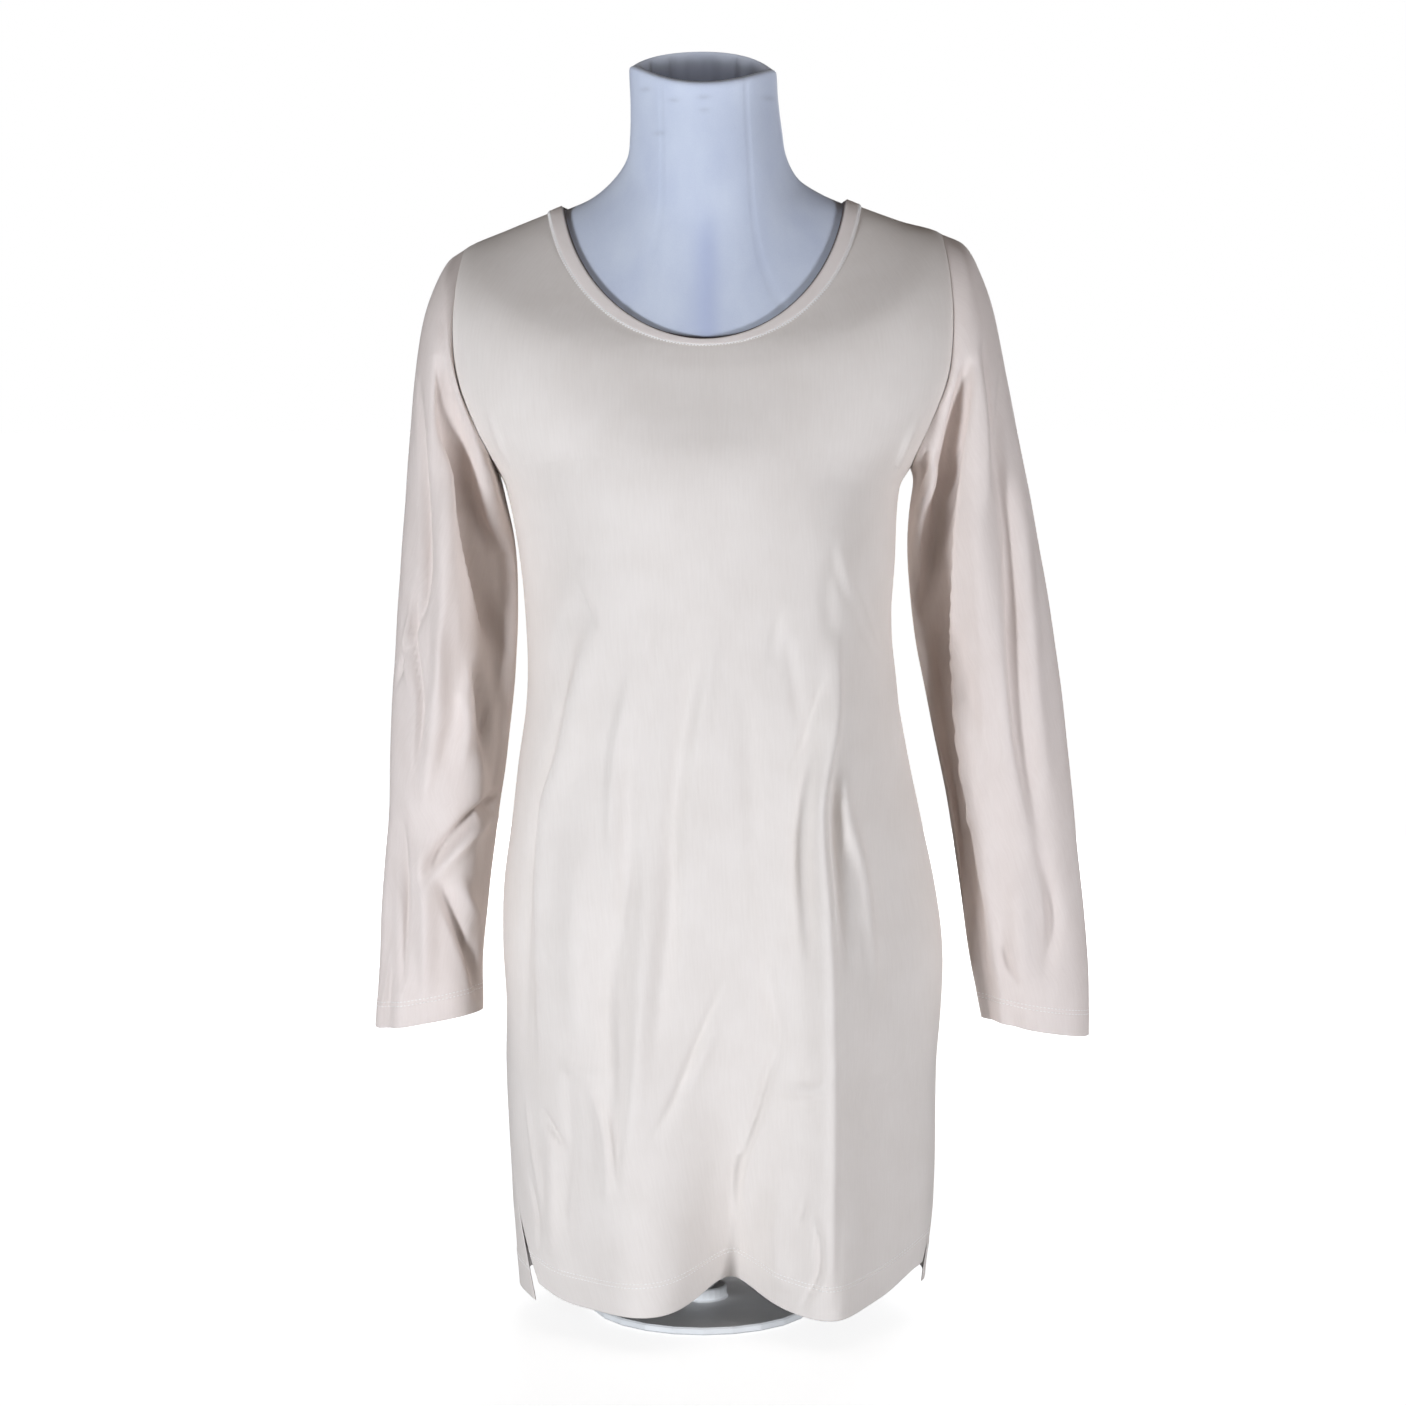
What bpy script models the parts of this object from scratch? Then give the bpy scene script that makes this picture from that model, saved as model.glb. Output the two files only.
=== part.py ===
"""A long sleeved jersey tunic top, worn by a limbless dress form on a low round stand.

Metres, +Z up. The front faces -Y, and +X is on the right of someone who looks at the front.
The origin is on the floor, in the middle of the stand's underside. Every cloth piece is a wall
of even thickness: its outer points come from a surface of two parameters, and its inner
points are the same points moved in along the surface's normals.
"""

from collections import namedtuple

import bmesh
import bpy
import numpy as np

# The cloth and how it is joined
WALL = 0.0015  # thickness of the jersey in the model
EASE = 0.0012  # space between the form and the cloth that lies on it
SEAM_GAP = 0.0003  # space between two pieces that are sewn together
STANDOFF = EASE + WALL  # from the form to the outside of the cloth

# The tunic's hem, slits and armholes
FRONT_HEM_Z = 0.0245
BACK_HEM_Z = 0.0115
HEM_TAKES_UP = 0.070  # the height over which an uneven hem evens out
HEM_EVENS_POWER = 1.5
SEAM_SWING_LEFT = np.radians(32)  # how far the side seams have swung forward at the hem
SEAM_SWING_RIGHT = np.radians(18)
SEAM_SWING_TOP_Z = 0.25
SEAM_SWING_POWER = 1.2
SLIT_TOP_Z = 0.095
SLIT_OPEN_LEFT = 0.0045  # half the opening of the slit at the hem
SLIT_OPEN_RIGHT = 0.0025
BUST_LEVEL = 0.650
ARMPIT_LEVEL = 0.675
SHOULDER_LEVEL = 0.785
NECK_LEVEL = 0.815
ARMHOLE_HALF_DEPTH = 0.050
ARMHOLE_SQUARENESS = 2.4
UNDERARM_EXTRA_GAP = 1.5  # as a share of the seam gap, under the arm

# The band round the neck
BAND_WIDTH = 0.0105
BAND_OVERHANG = 0.0012  # how far it stands past the panels' edge
BAND_THICKNESS = 0.0012

# The stand and the hollow neck
BASE_RADIUS = 0.090
BASE_THICKNESS = 0.006
BOSS_RADIUS = 0.019
BOSS_HEIGHT = 0.010
POST_RADIUS = 0.0125
SOCKET_RADIUS = 0.036
SOCKET_THICKNESS = 0.004
SOCKET_BOSS_HEIGHT = 0.014
FORM_BOTTOM_Z = 0.222
RIM_RADIUS = 0.052  # of the neck, on average
NECK_HOLLOW = ((0.0020, -0.0012), (0.0050, 0.0), (0.0072, 0.006), (0.0090, 0.036))  # inset, depth
BEVEL = 0.0012

# How finely the pieces are divided
PANEL_COLUMNS = 30
PANEL_ROW_STEP = 0.040
SLIT_ROWS = 2
ARMHOLE_STEPS = 10
YOKE_ROWS = 3
SLEEVE_COLUMNS = 2 * ARMHOLE_STEPS
SLEEVE_FINE_RINGS = 4  # the rings nearest the shoulder, divided more finely than the rest
SLEEVE_FINE_STEP = 0.5
SLEEVE_STEP = 0.75
FORM_COLUMNS = 32
ROUND_SIDES = 24

# A small step in angle or level, for slopes, and how often a search halves its range
STEP = 1e-4
HALVINGS = 40
TINY = 1e-9
SHARP_EDGE = np.radians(40)  # edges bent by more than this are shaded sharp

# A ring round the body. Level only orders the rings. The ring is a rounded ellipse about
# x = middle with the given half width, front depth and back depth. It runs at one height at
# each side and at another in the middle of the front and of the back, and soft tells how
# roundly it crosses the side, as over a shoulder.
Ring = namedtuple(
    "Ring", "level middle half_width front back z_left z_right z_front z_back square soft"
)

# The dress form below the bust: level rings, so one height each.
FORM_LOWER = (
    # z, half_width, front, back, square
    (0.222, 0.1345, 0.0900, 0.0960, 2.15),
    (0.226, 0.1395, 0.0945, 0.1005, 2.15),
    (0.238, 0.1440, 0.0990, 0.1055, 2.15),
    (0.280, 0.1485, 0.1040, 0.1110, 2.15),
    (0.335, 0.1430, 0.0990, 0.1070, 2.15),
    (0.400, 0.1290, 0.0900, 0.0960, 2.10),
    (0.475, 0.1165, 0.0820, 0.0820, 2.10),
    (0.530, 0.1175, 0.0850, 0.0800, 2.10),
    (0.585, 0.1290, 0.0980, 0.0860, 2.10),
    (0.622, 0.1410, 0.1140, 0.0930, 2.10),
)

# From the bust to the tunic's neckline, where the form and the tunic have the same rings.
YOKE = (
    # level, middle, half_width, front, back, z_left, z_right, z_front, z_back, square, soft
    (0.650, 0.0000, 0.1500, 0.1220, 0.0980, 0.650, 0.650, 0.650, 0.650, 2.15, 0.60),
    (0.675, 0.0000, 0.1590, 0.1185, 0.1010, 0.668, 0.668, 0.677, 0.672, 2.20, 0.60),
    (0.700, 0.0000, 0.1810, 0.1120, 0.1010, 0.699, 0.702, 0.697, 0.705, 2.30, 0.50),
    (0.725, 0.0000, 0.1985, 0.1050, 0.0980, 0.738, 0.744, 0.715, 0.735, 2.40, 0.45),
    (0.748, 0.0000, 0.2035, 0.0990, 0.0920, 0.778, 0.786, 0.730, 0.765, 2.45, 0.40),
    (0.768, 0.0000, 0.1985, 0.0942, 0.0840, 0.810, 0.821, 0.742, 0.791, 2.45, 0.36),
    (0.785, 0.0000, 0.1830, 0.0905, 0.0740, 0.832, 0.844, 0.750, 0.815, 2.40, 0.32),
    (0.800, 0.0005, 0.1500, 0.0872, 0.0665, 0.847, 0.854, 0.757, 0.838, 2.25, 0.26),
    (0.815, 0.0010, 0.1085, 0.0835, 0.0610, 0.864, 0.869, 0.764, 0.856, 2.05, 0.20),
)

# From the neckline up to the rim of the form's neck.
NECK = (
    (0.830, 0.0015, 0.0875, 0.0755, 0.0580, 0.8735, 0.8780, 0.785, 0.869, 2.0, 0.25),
    (0.845, 0.0018, 0.0717, 0.0665, 0.0555, 0.8868, 0.8885, 0.812, 0.883, 2.0, 0.35),
    (0.865, 0.0028, 0.0616, 0.0585, 0.0535, 0.9030, 0.9050, 0.845, 0.902, 2.0, 0.50),
    (0.890, 0.0024, 0.0586, 0.0545, 0.0515, 0.9200, 0.9240, 0.880, 0.926, 2.0, 0.60),
    (0.925, 0.0010, 0.0568, 0.0515, 0.0490, 0.9460, 0.9490, 0.924, 0.959, 2.0, 0.80),
    (0.950, 0.0000, 0.0567, 0.0498, 0.0475, 0.9695, 0.9665, 0.9525, 0.9850, 2.0, 1.50),
    (0.955, -0.0003, 0.0560, 0.0488, 0.0468, 0.9745, 0.9715, 0.9580, 0.9900, 2.0, 2.00),
)

# The outside of the tunic from the hem to below the bust: level rings.
TUNIC_LOWER = (
    # z, middle, half_width, front, back, square
    (0.005, 0.0155, 0.1610, 0.1050, 0.1120, 2.20),
    (0.100, 0.0160, 0.1675, 0.1120, 0.1180, 2.25),
    (0.197, 0.0145, 0.1700, 0.1175, 0.1200, 2.30),
    (0.246, 0.0165, 0.1715, 0.1200, 0.1200, 2.30),
    (0.294, 0.0155, 0.1730, 0.1215, 0.1195, 2.30),
    (0.342, 0.0128, 0.1692, 0.1225, 0.1175, 2.25),
    (0.390, 0.0108, 0.1608, 0.1225, 0.1145, 2.25),
    (0.437, 0.0085, 0.1530, 0.1225, 0.1100, 2.20),
    (0.485, 0.0073, 0.1453, 0.1225, 0.1050, 2.20),
    (0.532, 0.0045, 0.1420, 0.1225, 0.1010, 2.15),
    (0.594, 0.0035, 0.1460, 0.1240, 0.0995, 2.15),
)

# Folds of the panels. A fold runs from x_top at z_top down to x_hem at the hem. Its height
# stands out from the panel at the hem, or in where it is negative, and grows from nothing at
# z_top by the given power. It falls off over one width to its left and another to its right.
Fold = namedtuple("Fold", "x_top x_hem z_top power width_left width_right height")
FRONT_FOLDS = (
    (-0.088, -0.124, 0.600, 0.45, 0.018, 0.030, 0.0085),
    (-0.060, -0.050, 0.420, 1.60, 0.040, 0.045, 0.0260),
    (0.024, 0.021, 0.260, 1.50, 0.030, 0.026, -0.0340),
    (0.104, 0.101, 0.660, 0.80, 0.034, 0.022, 0.0300),
    (0.150, 0.150, 0.420, 1.00, 0.020, 0.016, -0.0060),
)
BACK_FOLDS = (
    (0.095, 0.104, 0.620, 0.90, 0.026, 0.032, 0.0170),
    (0.050, 0.056, 0.330, 1.30, 0.024, 0.024, -0.0150),
    (0.000, 0.008, 0.480, 1.10, 0.030, 0.030, 0.0130),
    (-0.040, -0.038, 0.300, 1.40, 0.022, 0.024, -0.0130),
    (-0.085, -0.094, 0.600, 0.80, 0.034, 0.026, 0.0170),
)

# The sine of the angle from the side at which the folds have their full height.
FOLDS_FULL_FROM = 0.45

# Places where a panel's hem stands above its lowest line, each a smooth hump of a width.
HemRise = namedtuple("HemRise", "x width rise")
FRONT_HEM_RISES = (
    (0.021, 0.032, 0.0190),
    (-0.135, 0.022, 0.0125),
    (0.100, 0.030, -0.0025),
    (0.174, 0.026, 0.0190),
)
BACK_HEM_RISES = (
    (0.172, 0.034, 0.0150),
    (0.008, 0.050, 0.0030),
    (-0.135, 0.028, 0.0090),
)

# Rings of a sleeve below the armhole. The ring's outer point is on the top of the arm, its
# inner point on the underarm seam, and half_depth is half its size from front to back. Bow
# moves the front and back of the ring away from the body.
SleeveRing = namedtuple(
    "SleeveRing", "outer_x outer_z inner_x inner_z half_depth y_middle bow"
)
SLEEVE_LEFT = (
    (-0.1977, 0.8240, -0.1565, 0.6550, 0.0545, 0.000, 0.013),
    (-0.2094, 0.8010, -0.1520, 0.6360, 0.0560, 0.000, 0.013),
    (-0.2182, 0.7700, -0.1477, 0.6140, 0.0555, 0.000, 0.009),
    (-0.2248, 0.7220, -0.1450, 0.5900, 0.0530, -0.001, 0.005),
    (-0.2292, 0.6700, -0.1445, 0.5650, 0.0500, -0.002, 0.002),
    (-0.2347, 0.6020, -0.1448, 0.5330, 0.0470, -0.004, 0.0),
    (-0.2396, 0.5320, -0.1480, 0.4900, 0.0435, -0.006, 0.0),
    (-0.2440, 0.4600, -0.1535, 0.4400, 0.0400, -0.008, 0.0),
    (-0.2457, 0.4000, -0.1605, 0.3930, 0.0360, -0.011, 0.0),
    (-0.2514, 0.3350, -0.1675, 0.3370, 0.0315, -0.014, 0.0),
    (-0.2538, 0.2800, -0.1725, 0.2880, 0.0275, -0.017, 0.0),
    (-0.2572, 0.2290, -0.1730, 0.2430, 0.0245, -0.019, 0.0),
)
SLEEVE_RIGHT = (
    (0.2027, 0.8370, 0.1635, 0.6550, 0.0545, 0.000, 0.012),
    (0.2152, 0.8140, 0.1610, 0.6350, 0.0560, 0.000, 0.012),
    (0.2262, 0.7820, 0.1595, 0.6120, 0.0555, 0.000, 0.008),
    (0.2367, 0.7300, 0.1598, 0.5870, 0.0530, -0.001, 0.004),
    (0.2486, 0.6720, 0.1622, 0.5600, 0.0500, -0.002, 0.002),
    (0.2620, 0.6050, 0.1670, 0.5260, 0.0470, -0.004, 0.0),
    (0.2748, 0.5320, 0.1750, 0.4860, 0.0435, -0.006, 0.0),
    (0.2840, 0.4600, 0.1846, 0.4400, 0.0400, -0.008, 0.0),
    (0.2900, 0.4020, 0.1935, 0.3920, 0.0360, -0.011, 0.0),
    (0.2976, 0.3320, 0.2020, 0.3320, 0.0315, -0.014, 0.0),
    (0.3024, 0.2800, 0.2100, 0.2800, 0.0275, -0.017, 0.0),
    (0.3032, 0.2225, 0.2190, 0.2360, 0.0245, -0.019, 0.0),
)

# Folds of a sleeve: where it lies round the ring in degrees, 0 the top of the arm, 90 the
# front and 180 the underarm, at the ring where it starts and the one where it ends.
SleeveFold = namedtuple("SleeveFold", "ring_top ring_end turn_top turn_end width height")
SLEEVE_LEFT_FOLDS = (
    (2.0, 9.0, 70, 62, 16, 0.0032),
    (3.5, 7.0, 140, 128, 15, -0.0040),
    (6.5, 9.5, 118, 60, 13, -0.0035),
    (8.5, 12.0, 58, 62, 15, 0.0048),
    (8.5, 12.0, 35, 40, 12, -0.0030),
    (3.0, 9.0, 250, 285, 20, -0.0030),
    (8.0, 12.0, 300, 290, 16, 0.0030),
)
SLEEVE_RIGHT_FOLDS = (
    (2.5, 7.5, 150, 120, 15, -0.0050),
    (4.0, 11.0, 84, 88, 14, 0.0030),
    (3.0, 10.0, 62, 72, 12, -0.0030),
    (7.0, 12.0, 128, 120, 14, -0.0032),
    (4.0, 10.0, 280, 250, 20, -0.0035),
    (8.0, 12.0, 230, 240, 16, 0.0030),
)

MATERIALS = {
    # name: colour, roughness, metallic
    "tunic_jersey": ((0.80, 0.73, 0.68), 0.75, 0.0),
    "form_cover": ((0.60, 0.63, 0.72), 0.80, 0.0),
    "white_paint": ((0.82, 0.82, 0.82), 0.45, 0.0),
    "brushed_steel": ((0.60, 0.60, 0.61), 0.35, 1.0),
}


def read_rows(knots, values, wanted):
    """Values on a smooth curve through the rows: cubic pieces whose slope at a row is that
    of the line between its neighbours."""
    slope = np.empty_like(values)
    lead = (slice(None),) + (None,) * (values.ndim - 1)
    slope[1:-1] = (values[2:] - values[:-2]) / (knots[2:] - knots[:-2])[lead]
    slope[0] = (values[1] - values[0]) / (knots[1] - knots[0])
    slope[-1] = (values[-1] - values[-2]) / (knots[-1] - knots[-2])
    i = np.clip(np.searchsorted(knots, wanted, side="right") - 1, 0, len(knots) - 2)
    span = knots[i + 1] - knots[i]
    t = np.clip((wanted - knots[i]) / span, -0.2, 1.2)
    extra = (None,) * (values.ndim - 1)
    t, span = t[(...,) + extra], span[(...,) + extra]
    rise = values[i + 1] - values[i]
    bend = span * slope[i] * t * (1 - t) ** 2 - span * slope[i + 1] * t**2 * (1 - t)
    return values[i] + rise * (3 * t**2 - 2 * t**3) + bend


def level_ring(z, middle, half_width, front, back, square):
    """A ring that runs at one height, as a row of the ring tables."""
    return (z, middle, half_width, front, back, z, z, z, z, square, 1.0)


FORM_RINGS = tuple(level_ring(z, 0.0, *rest) for z, *rest in FORM_LOWER) + YOKE + NECK
TUNIC_RINGS = (
    tuple(
        level_ring(z, middle, half - STANDOFF, front - STANDOFF, back - STANDOFF, square)
        for z, middle, half, front, back, square in TUNIC_LOWER
    )
    + YOKE
    + NECK[:1]
)


def torso(rings, turn, level):
    """Points on the body's rings. The angle turn is 0 at the +X side, a quarter turn at the
    back and three quarters at the front. With c and s its cosine and sine and n the
    squareness, the ring's radius is (|c|^n + |s|^n)^(-1/n) of its half width and depth, and
    its height goes from the side's to the front's or back's as |s| does, rounded at the side."""
    table = np.array(rings, float)
    ring = Ring._make(np.moveaxis(read_rows(table[:, 0], table, level), -1, 0))
    c, s = np.cos(turn), np.sin(turn)
    radius = (np.abs(c) ** ring.square + np.abs(s) ** ring.square) ** (-1 / ring.square)
    at_back = s > 0
    x = ring.middle + ring.half_width * radius * c
    y = np.where(at_back, ring.back, ring.front) * radius * s
    soft = ring.soft
    share = (np.sqrt(s**2 + soft**2) - soft) / (np.sqrt(1 + soft**2) - soft)
    side = ring.z_left + (ring.z_right - ring.z_left) * (1 + c) / 2
    z = side + (np.where(at_back, ring.z_back, ring.z_front) - side) * share
    return np.stack([x, y, z], -1)


def fold_depth(folds, hem_z, x, z):
    """How far the folds move a panel's points out, each a smooth hump across its line."""
    total = np.zeros_like(x)
    for fold in map(Fold._make, folds):
        down = np.clip((fold.z_top - z) / (fold.z_top - hem_z), 0.0, 1.05)
        off = x - (fold.x_top + (fold.x_hem - fold.x_top) * down)
        width = np.where(off < 0, fold.width_left, fold.width_right)
        total += fold.height * down**fold.power * np.exp(-((off / width) ** 2))
    return total


def hem_rise(rises, x):
    """How far a panel's hem stands above its lowest line, each a smooth hump along it."""
    rows = map(HemRise._make, rises)
    return sum(row.rise * np.exp(-(((x - row.x) / row.width) ** 2)) for row in rows)


def tunic(turn, level, face=-1):
    """The surface that the tunic's walls are measured from: the rings, then the panels' folds,
    and the rises of the hem of the front (face = -1) or back (face = +1) panel. Folds fade out
    towards the side seams."""
    p = torso(TUNIC_RINGS, turn, level)
    s = np.sin(turn)
    front = fold_depth(FRONT_FOLDS, FRONT_HEM_Z, p[..., 0], p[..., 2])
    back = fold_depth(BACK_FOLDS, BACK_HEM_Z, p[..., 0], p[..., 2])
    fade = np.clip(np.abs(s) / FOLDS_FULL_FROM, 0, 1) ** 2
    p[..., 1] += fade * np.where(s > 0, back, -front)
    near_hem = np.clip(1 - (level - FRONT_HEM_Z) / HEM_TAKES_UP, 0, 1) ** HEM_EVENS_POWER
    rises = BACK_HEM_RISES if face > 0 else FRONT_HEM_RISES
    p[..., 2] += hem_rise(rises, p[..., 0]) * near_hem
    return p


def form(turn, level):
    """The dress form's surface."""
    return torso(FORM_RINGS, turn, level)


def lift(turn, level, height, face=-1):
    """The tunic's points, moved out along its unit normals, which come from its points a small
    step away."""
    along = tunic(turn + STEP, level, face) - tunic(turn - STEP, level, face)
    up = tunic(turn, level + STEP, face) - tunic(turn, level - STEP, face)
    n = np.cross(along, up)
    n /= np.linalg.norm(n, axis=-1, keepdims=True)
    return tunic(turn, level, face) + height * n


def armhole_turn(level, side_depth):
    """The angle from the side at which a ring meets the armhole: the armhole is a rounded
    oval from the armpit's level to the shoulder's, and its half depth at a level is met
    where the ring is that far in front of the side, or behind it."""
    high = np.clip((level - ARMPIT_LEVEL) / (SHOULDER_LEVEL - ARMPIT_LEVEL), 0, 1)
    power = ARMHOLE_SQUARENESS
    oval = (1 - np.abs(2 * high - 1) ** power) ** (1 / power)
    wanted = ARMHOLE_HALF_DEPTH * oval
    low, top = np.zeros_like(level), np.full_like(level, np.pi / 2)
    for _ in range(HALVINGS):
        mid = (low + top) / 2
        short = side_depth(mid, level) < wanted
        low, top = np.where(short, mid, low), np.where(short, top, mid)
    return (low + top) / 2


def side_angle(level, side, face):
    """Where a panel ends on one side, as its angle from the side at side = +1 or -1, towards
    the face = +1 for the back or -1 for the front: the armhole, or else the side seam, which
    swings forward near the hem and opens into the slit."""

    def depth(angle, at):
        turn = np.where(side > 0, face * angle, np.pi - face * angle)
        return np.abs(torso(TUNIC_RINGS, turn, at)[..., 1])

    hole = armhole_turn(level, depth)
    full_swing = SEAM_SWING_RIGHT if side > 0 else SEAM_SWING_LEFT
    swing = full_swing * np.clip(1 - level / SEAM_SWING_TOP_Z, 0, 1) ** SEAM_SWING_POWER
    hem = FRONT_HEM_Z if face < 0 else BACK_HEM_Z
    opening = SLIT_OPEN_RIGHT if side > 0 else SLIT_OPEN_LEFT
    apart = SEAM_GAP / 2 + opening * np.clip((SLIT_TOP_Z - level) / (SLIT_TOP_Z - hem), 0, 1)
    turn = np.where(side > 0, 0.0, np.pi) + 0 * level
    stretch = tunic(turn + STEP, level, face) - tunic(turn - STEP, level, face)
    reach = np.linalg.norm(stretch, axis=-1) / (2 * STEP)
    return hole + apart / reach - face * swing


def closed(verts, faces, name, material):
    """A mesh object from points and faces, with its material."""
    mesh = bpy.data.meshes.new(name)
    mesh.from_pydata([tuple(v) for v in np.asarray(verts, float)], [], faces)
    mesh.validate()
    mesh.shade_smooth()
    mesh.set_sharp_from_angle(angle=SHARP_EDGE)
    mesh.materials.append(material)
    made = bpy.data.objects.new(name, mesh)
    bpy.context.scene.collection.objects.link(made)
    return made


def strip_faces(lower, upper):
    """Quads between two rows of point numbers that run the same way."""
    return [
        (int(a), int(b), int(c), int(d))
        for a, b, c, d in zip(lower[:-1], lower[1:], upper[1:], upper[:-1])
    ]


def panel_solid(outer, inner, name, material):
    """A wall between two grids of rows and columns, closed along all four edges."""
    rows, columns = outer.shape[:2]
    out = np.arange(rows * columns).reshape(rows, columns)
    into = out + rows * columns
    faces = []
    for r in range(rows - 1):
        faces += strip_faces(out[r], out[r + 1])
        faces += strip_faces(into[r][::-1], into[r + 1][::-1])
    around_out = np.concatenate([out[0], out[1:, -1], out[-1, -2::-1], out[-2::-1, 0]])
    around_in = np.concatenate([into[0], into[1:, -1], into[-1, -2::-1], into[-2::-1, 0]])
    faces += strip_faces(around_in, around_out)
    points = np.concatenate([outer.reshape(-1, 3), inner.reshape(-1, 3)])
    return closed(points, faces, name, material)


def tube_solid(outer, inner, name, material):
    """A wall between two grids whose rows are closed rings, open at both ends."""
    rows, columns = outer.shape[:2]
    out = np.arange(rows * columns).reshape(rows, columns)
    out = np.concatenate([out, out[:, :1]], axis=1)
    into = out + rows * columns
    faces = []
    for r in range(rows - 1):
        faces += strip_faces(out[r], out[r + 1])
        faces += strip_faces(into[r][::-1], into[r + 1][::-1])
    faces += strip_faces(into[0], out[0])
    faces += strip_faces(out[-1], into[-1])
    points = np.concatenate([outer.reshape(-1, 3), inner.reshape(-1, 3)])
    return closed(points, faces, name, material)


def capped_solid(rings, low_point, high_point, name, material):
    """A body from closed rings, bottom to top, closed by a point in the middle of each end."""
    rows, columns = rings.shape[:2]
    at = np.arange(rows * columns).reshape(rows, columns)
    at = np.concatenate([at, at[:, :1]], axis=1)
    low, high = rows * columns, rows * columns + 1
    faces = []
    for r in range(rows - 1):
        faces += strip_faces(at[r], at[r + 1])
    for a, b in zip(at[0][:-1], at[0][1:]):
        faces.append((low, int(b), int(a)))
    for a, b in zip(at[-1][:-1], at[-1][1:]):
        faces.append((high, int(a), int(b)))
    points = np.concatenate([rings.reshape(-1, 3), [low_point], [high_point]])
    return closed(points, faces, name, material)


def band_levels(turn):
    """The levels of the neck band's three rows, low to high, at each angle: real distances
    below the neckline, or above it where the band stands past the panels."""
    top = np.full_like(turn, NECK_LEVEL)
    per_level = np.linalg.norm(tunic(turn, top) - tunic(turn, top - STEP), axis=-1) / STEP
    below = np.array([BAND_WIDTH - BAND_OVERHANG, BAND_WIDTH / 2, -BAND_OVERHANG])
    return NECK_LEVEL - below[:, None] / per_level


def upper_levels(turn):
    """The levels of the rows from the bust to the neckline at each angle: spaced as round an
    oval up the armhole, then even to the neck band, whose two lower rows are shared."""
    around = np.linspace(0, np.pi, ARMHOLE_STEPS + 1)
    hole = ARMPIT_LEVEL + (SHOULDER_LEVEL - ARMPIT_LEVEL) * (1 - np.cos(around)) / 2
    low, middle, _ = band_levels(turn)
    share = np.linspace(0, 1, YOKE_ROWS + 1)[1:, None]
    yoke = SHOULDER_LEVEL + (low - SHOULDER_LEVEL) * share
    fixed = np.concatenate([[BUST_LEVEL], hole])[:, None] + 0 * turn
    return np.concatenate([fixed, yoke, [middle], [0 * turn + NECK_LEVEL]])


def lower_levels(hem_z):
    """The levels of a panel's rows below the bust, the same in both panels above the slits."""
    count = int(round((BUST_LEVEL - SLIT_TOP_Z) / PANEL_ROW_STEP))
    slit = np.linspace(hem_z, SLIT_TOP_Z, SLIT_ROWS + 1)[:-1]
    return np.concatenate([slit, np.linspace(SLIT_TOP_Z, BUST_LEVEL, count + 1)[:-1]])


def panel_grid(face, hem_z):
    """The angles and levels of a panel's rows and columns, its edges at the side seams, the
    armholes and the shoulder seams."""
    across = np.linspace(0, 1, PANEL_COLUMNS + 1)
    half_turn = np.pi * across if face > 0 else np.pi * (1 + across)
    lower = lower_levels(hem_z)[:, None] + 0 * across
    level = np.concatenate([lower, upper_levels(half_turn)])
    first = side_angle(level, +1 if face > 0 else -1, face)
    last = side_angle(level, -1 if face > 0 else +1, face)
    start = 0.0 if face > 0 else np.pi
    return start + first + (np.pi - last - first) * across, level


def make_panel(face, hem_z, name, material):
    """The front (face = -1) or back (face = +1) panel, from side seam to side seam, armhole
    to armhole and shoulder seam to shoulder seam, up to the neckline."""
    turn, level = panel_grid(face, hem_z)
    outer = lift(turn, level, STANDOFF, face)
    inner = lift(turn, level, EASE, face)
    return panel_solid(outer, inner, name, material)


def armhole_loop(side):
    """The panels' outer edge round an armhole, moved away from the body by the seam's gap. It
    starts on the shoulder and goes down the front and up the back."""
    around = np.arange(SLEEVE_COLUMNS) * 2 * np.pi / SLEEVE_COLUMNS
    level = ARMPIT_LEVEL + (SHOULDER_LEVEL - ARMPIT_LEVEL) * (1 + np.cos(around)) / 2
    at_front = np.sin(around) > TINY
    angle = np.where(at_front, side_angle(level, side, -1), side_angle(level, side, +1))
    tips = np.abs(np.sin(around)) < TINY
    angle = np.where(tips, 0.0, angle)
    face = np.where(at_front, -1.0, 1.0)
    turn = face * angle if side > 0 else np.pi - face * angle
    loop = lift(turn, level, STANDOFF)
    underarm = (1 - np.cos(around)) / 2
    loop[:, 0] += side * SEAM_GAP * (1 + UNDERARM_EXTRA_GAP * underarm)
    return around, loop


def sleeve_surface(side, table, folds, rings_wanted):
    """The sleeve's outer points: ovals between each ring's outer and inner point, bowed away
    from the body, joined smoothly to the armhole, then the folds along the normals."""
    around, loop = armhole_loop(side)
    c, s = np.cos(around), np.sin(around)
    rings = [loop]
    for row in map(SleeveRing._make, table):
        x = (row.outer_x + row.inner_x + (row.outer_x - row.inner_x) * c) / 2
        y = row.y_middle - row.half_depth * s
        z = (row.outer_z + row.inner_z + (row.outer_z - row.inner_z) * c) / 2
        rings.append(np.stack([x + side * row.bow * s**2, y, z], -1))
    rings = np.array(rings)
    surface = read_rows(np.arange(len(rings), dtype=float), rings, rings_wanted)
    n = sleeve_normals(surface, side)
    for fold in map(SleeveFold._make, folds):
        length = fold.ring_end - fold.ring_top
        down = np.clip((rings_wanted - fold.ring_top) / length, 0, 1)[:, None]
        line = np.radians(fold.turn_top + (fold.turn_end - fold.turn_top) * down)
        off = np.angle(np.exp(1j * (around[None, :] - line)))
        ends_at_cuff = fold.ring_end >= len(table)
        grown = np.sin(np.pi * down / 2) if ends_at_cuff else np.sin(np.pi * down)
        hump = fold.height * grown * np.exp(-((off / np.radians(fold.width)) ** 2))
        surface = surface + hump[..., None] * n
    return surface


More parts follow.
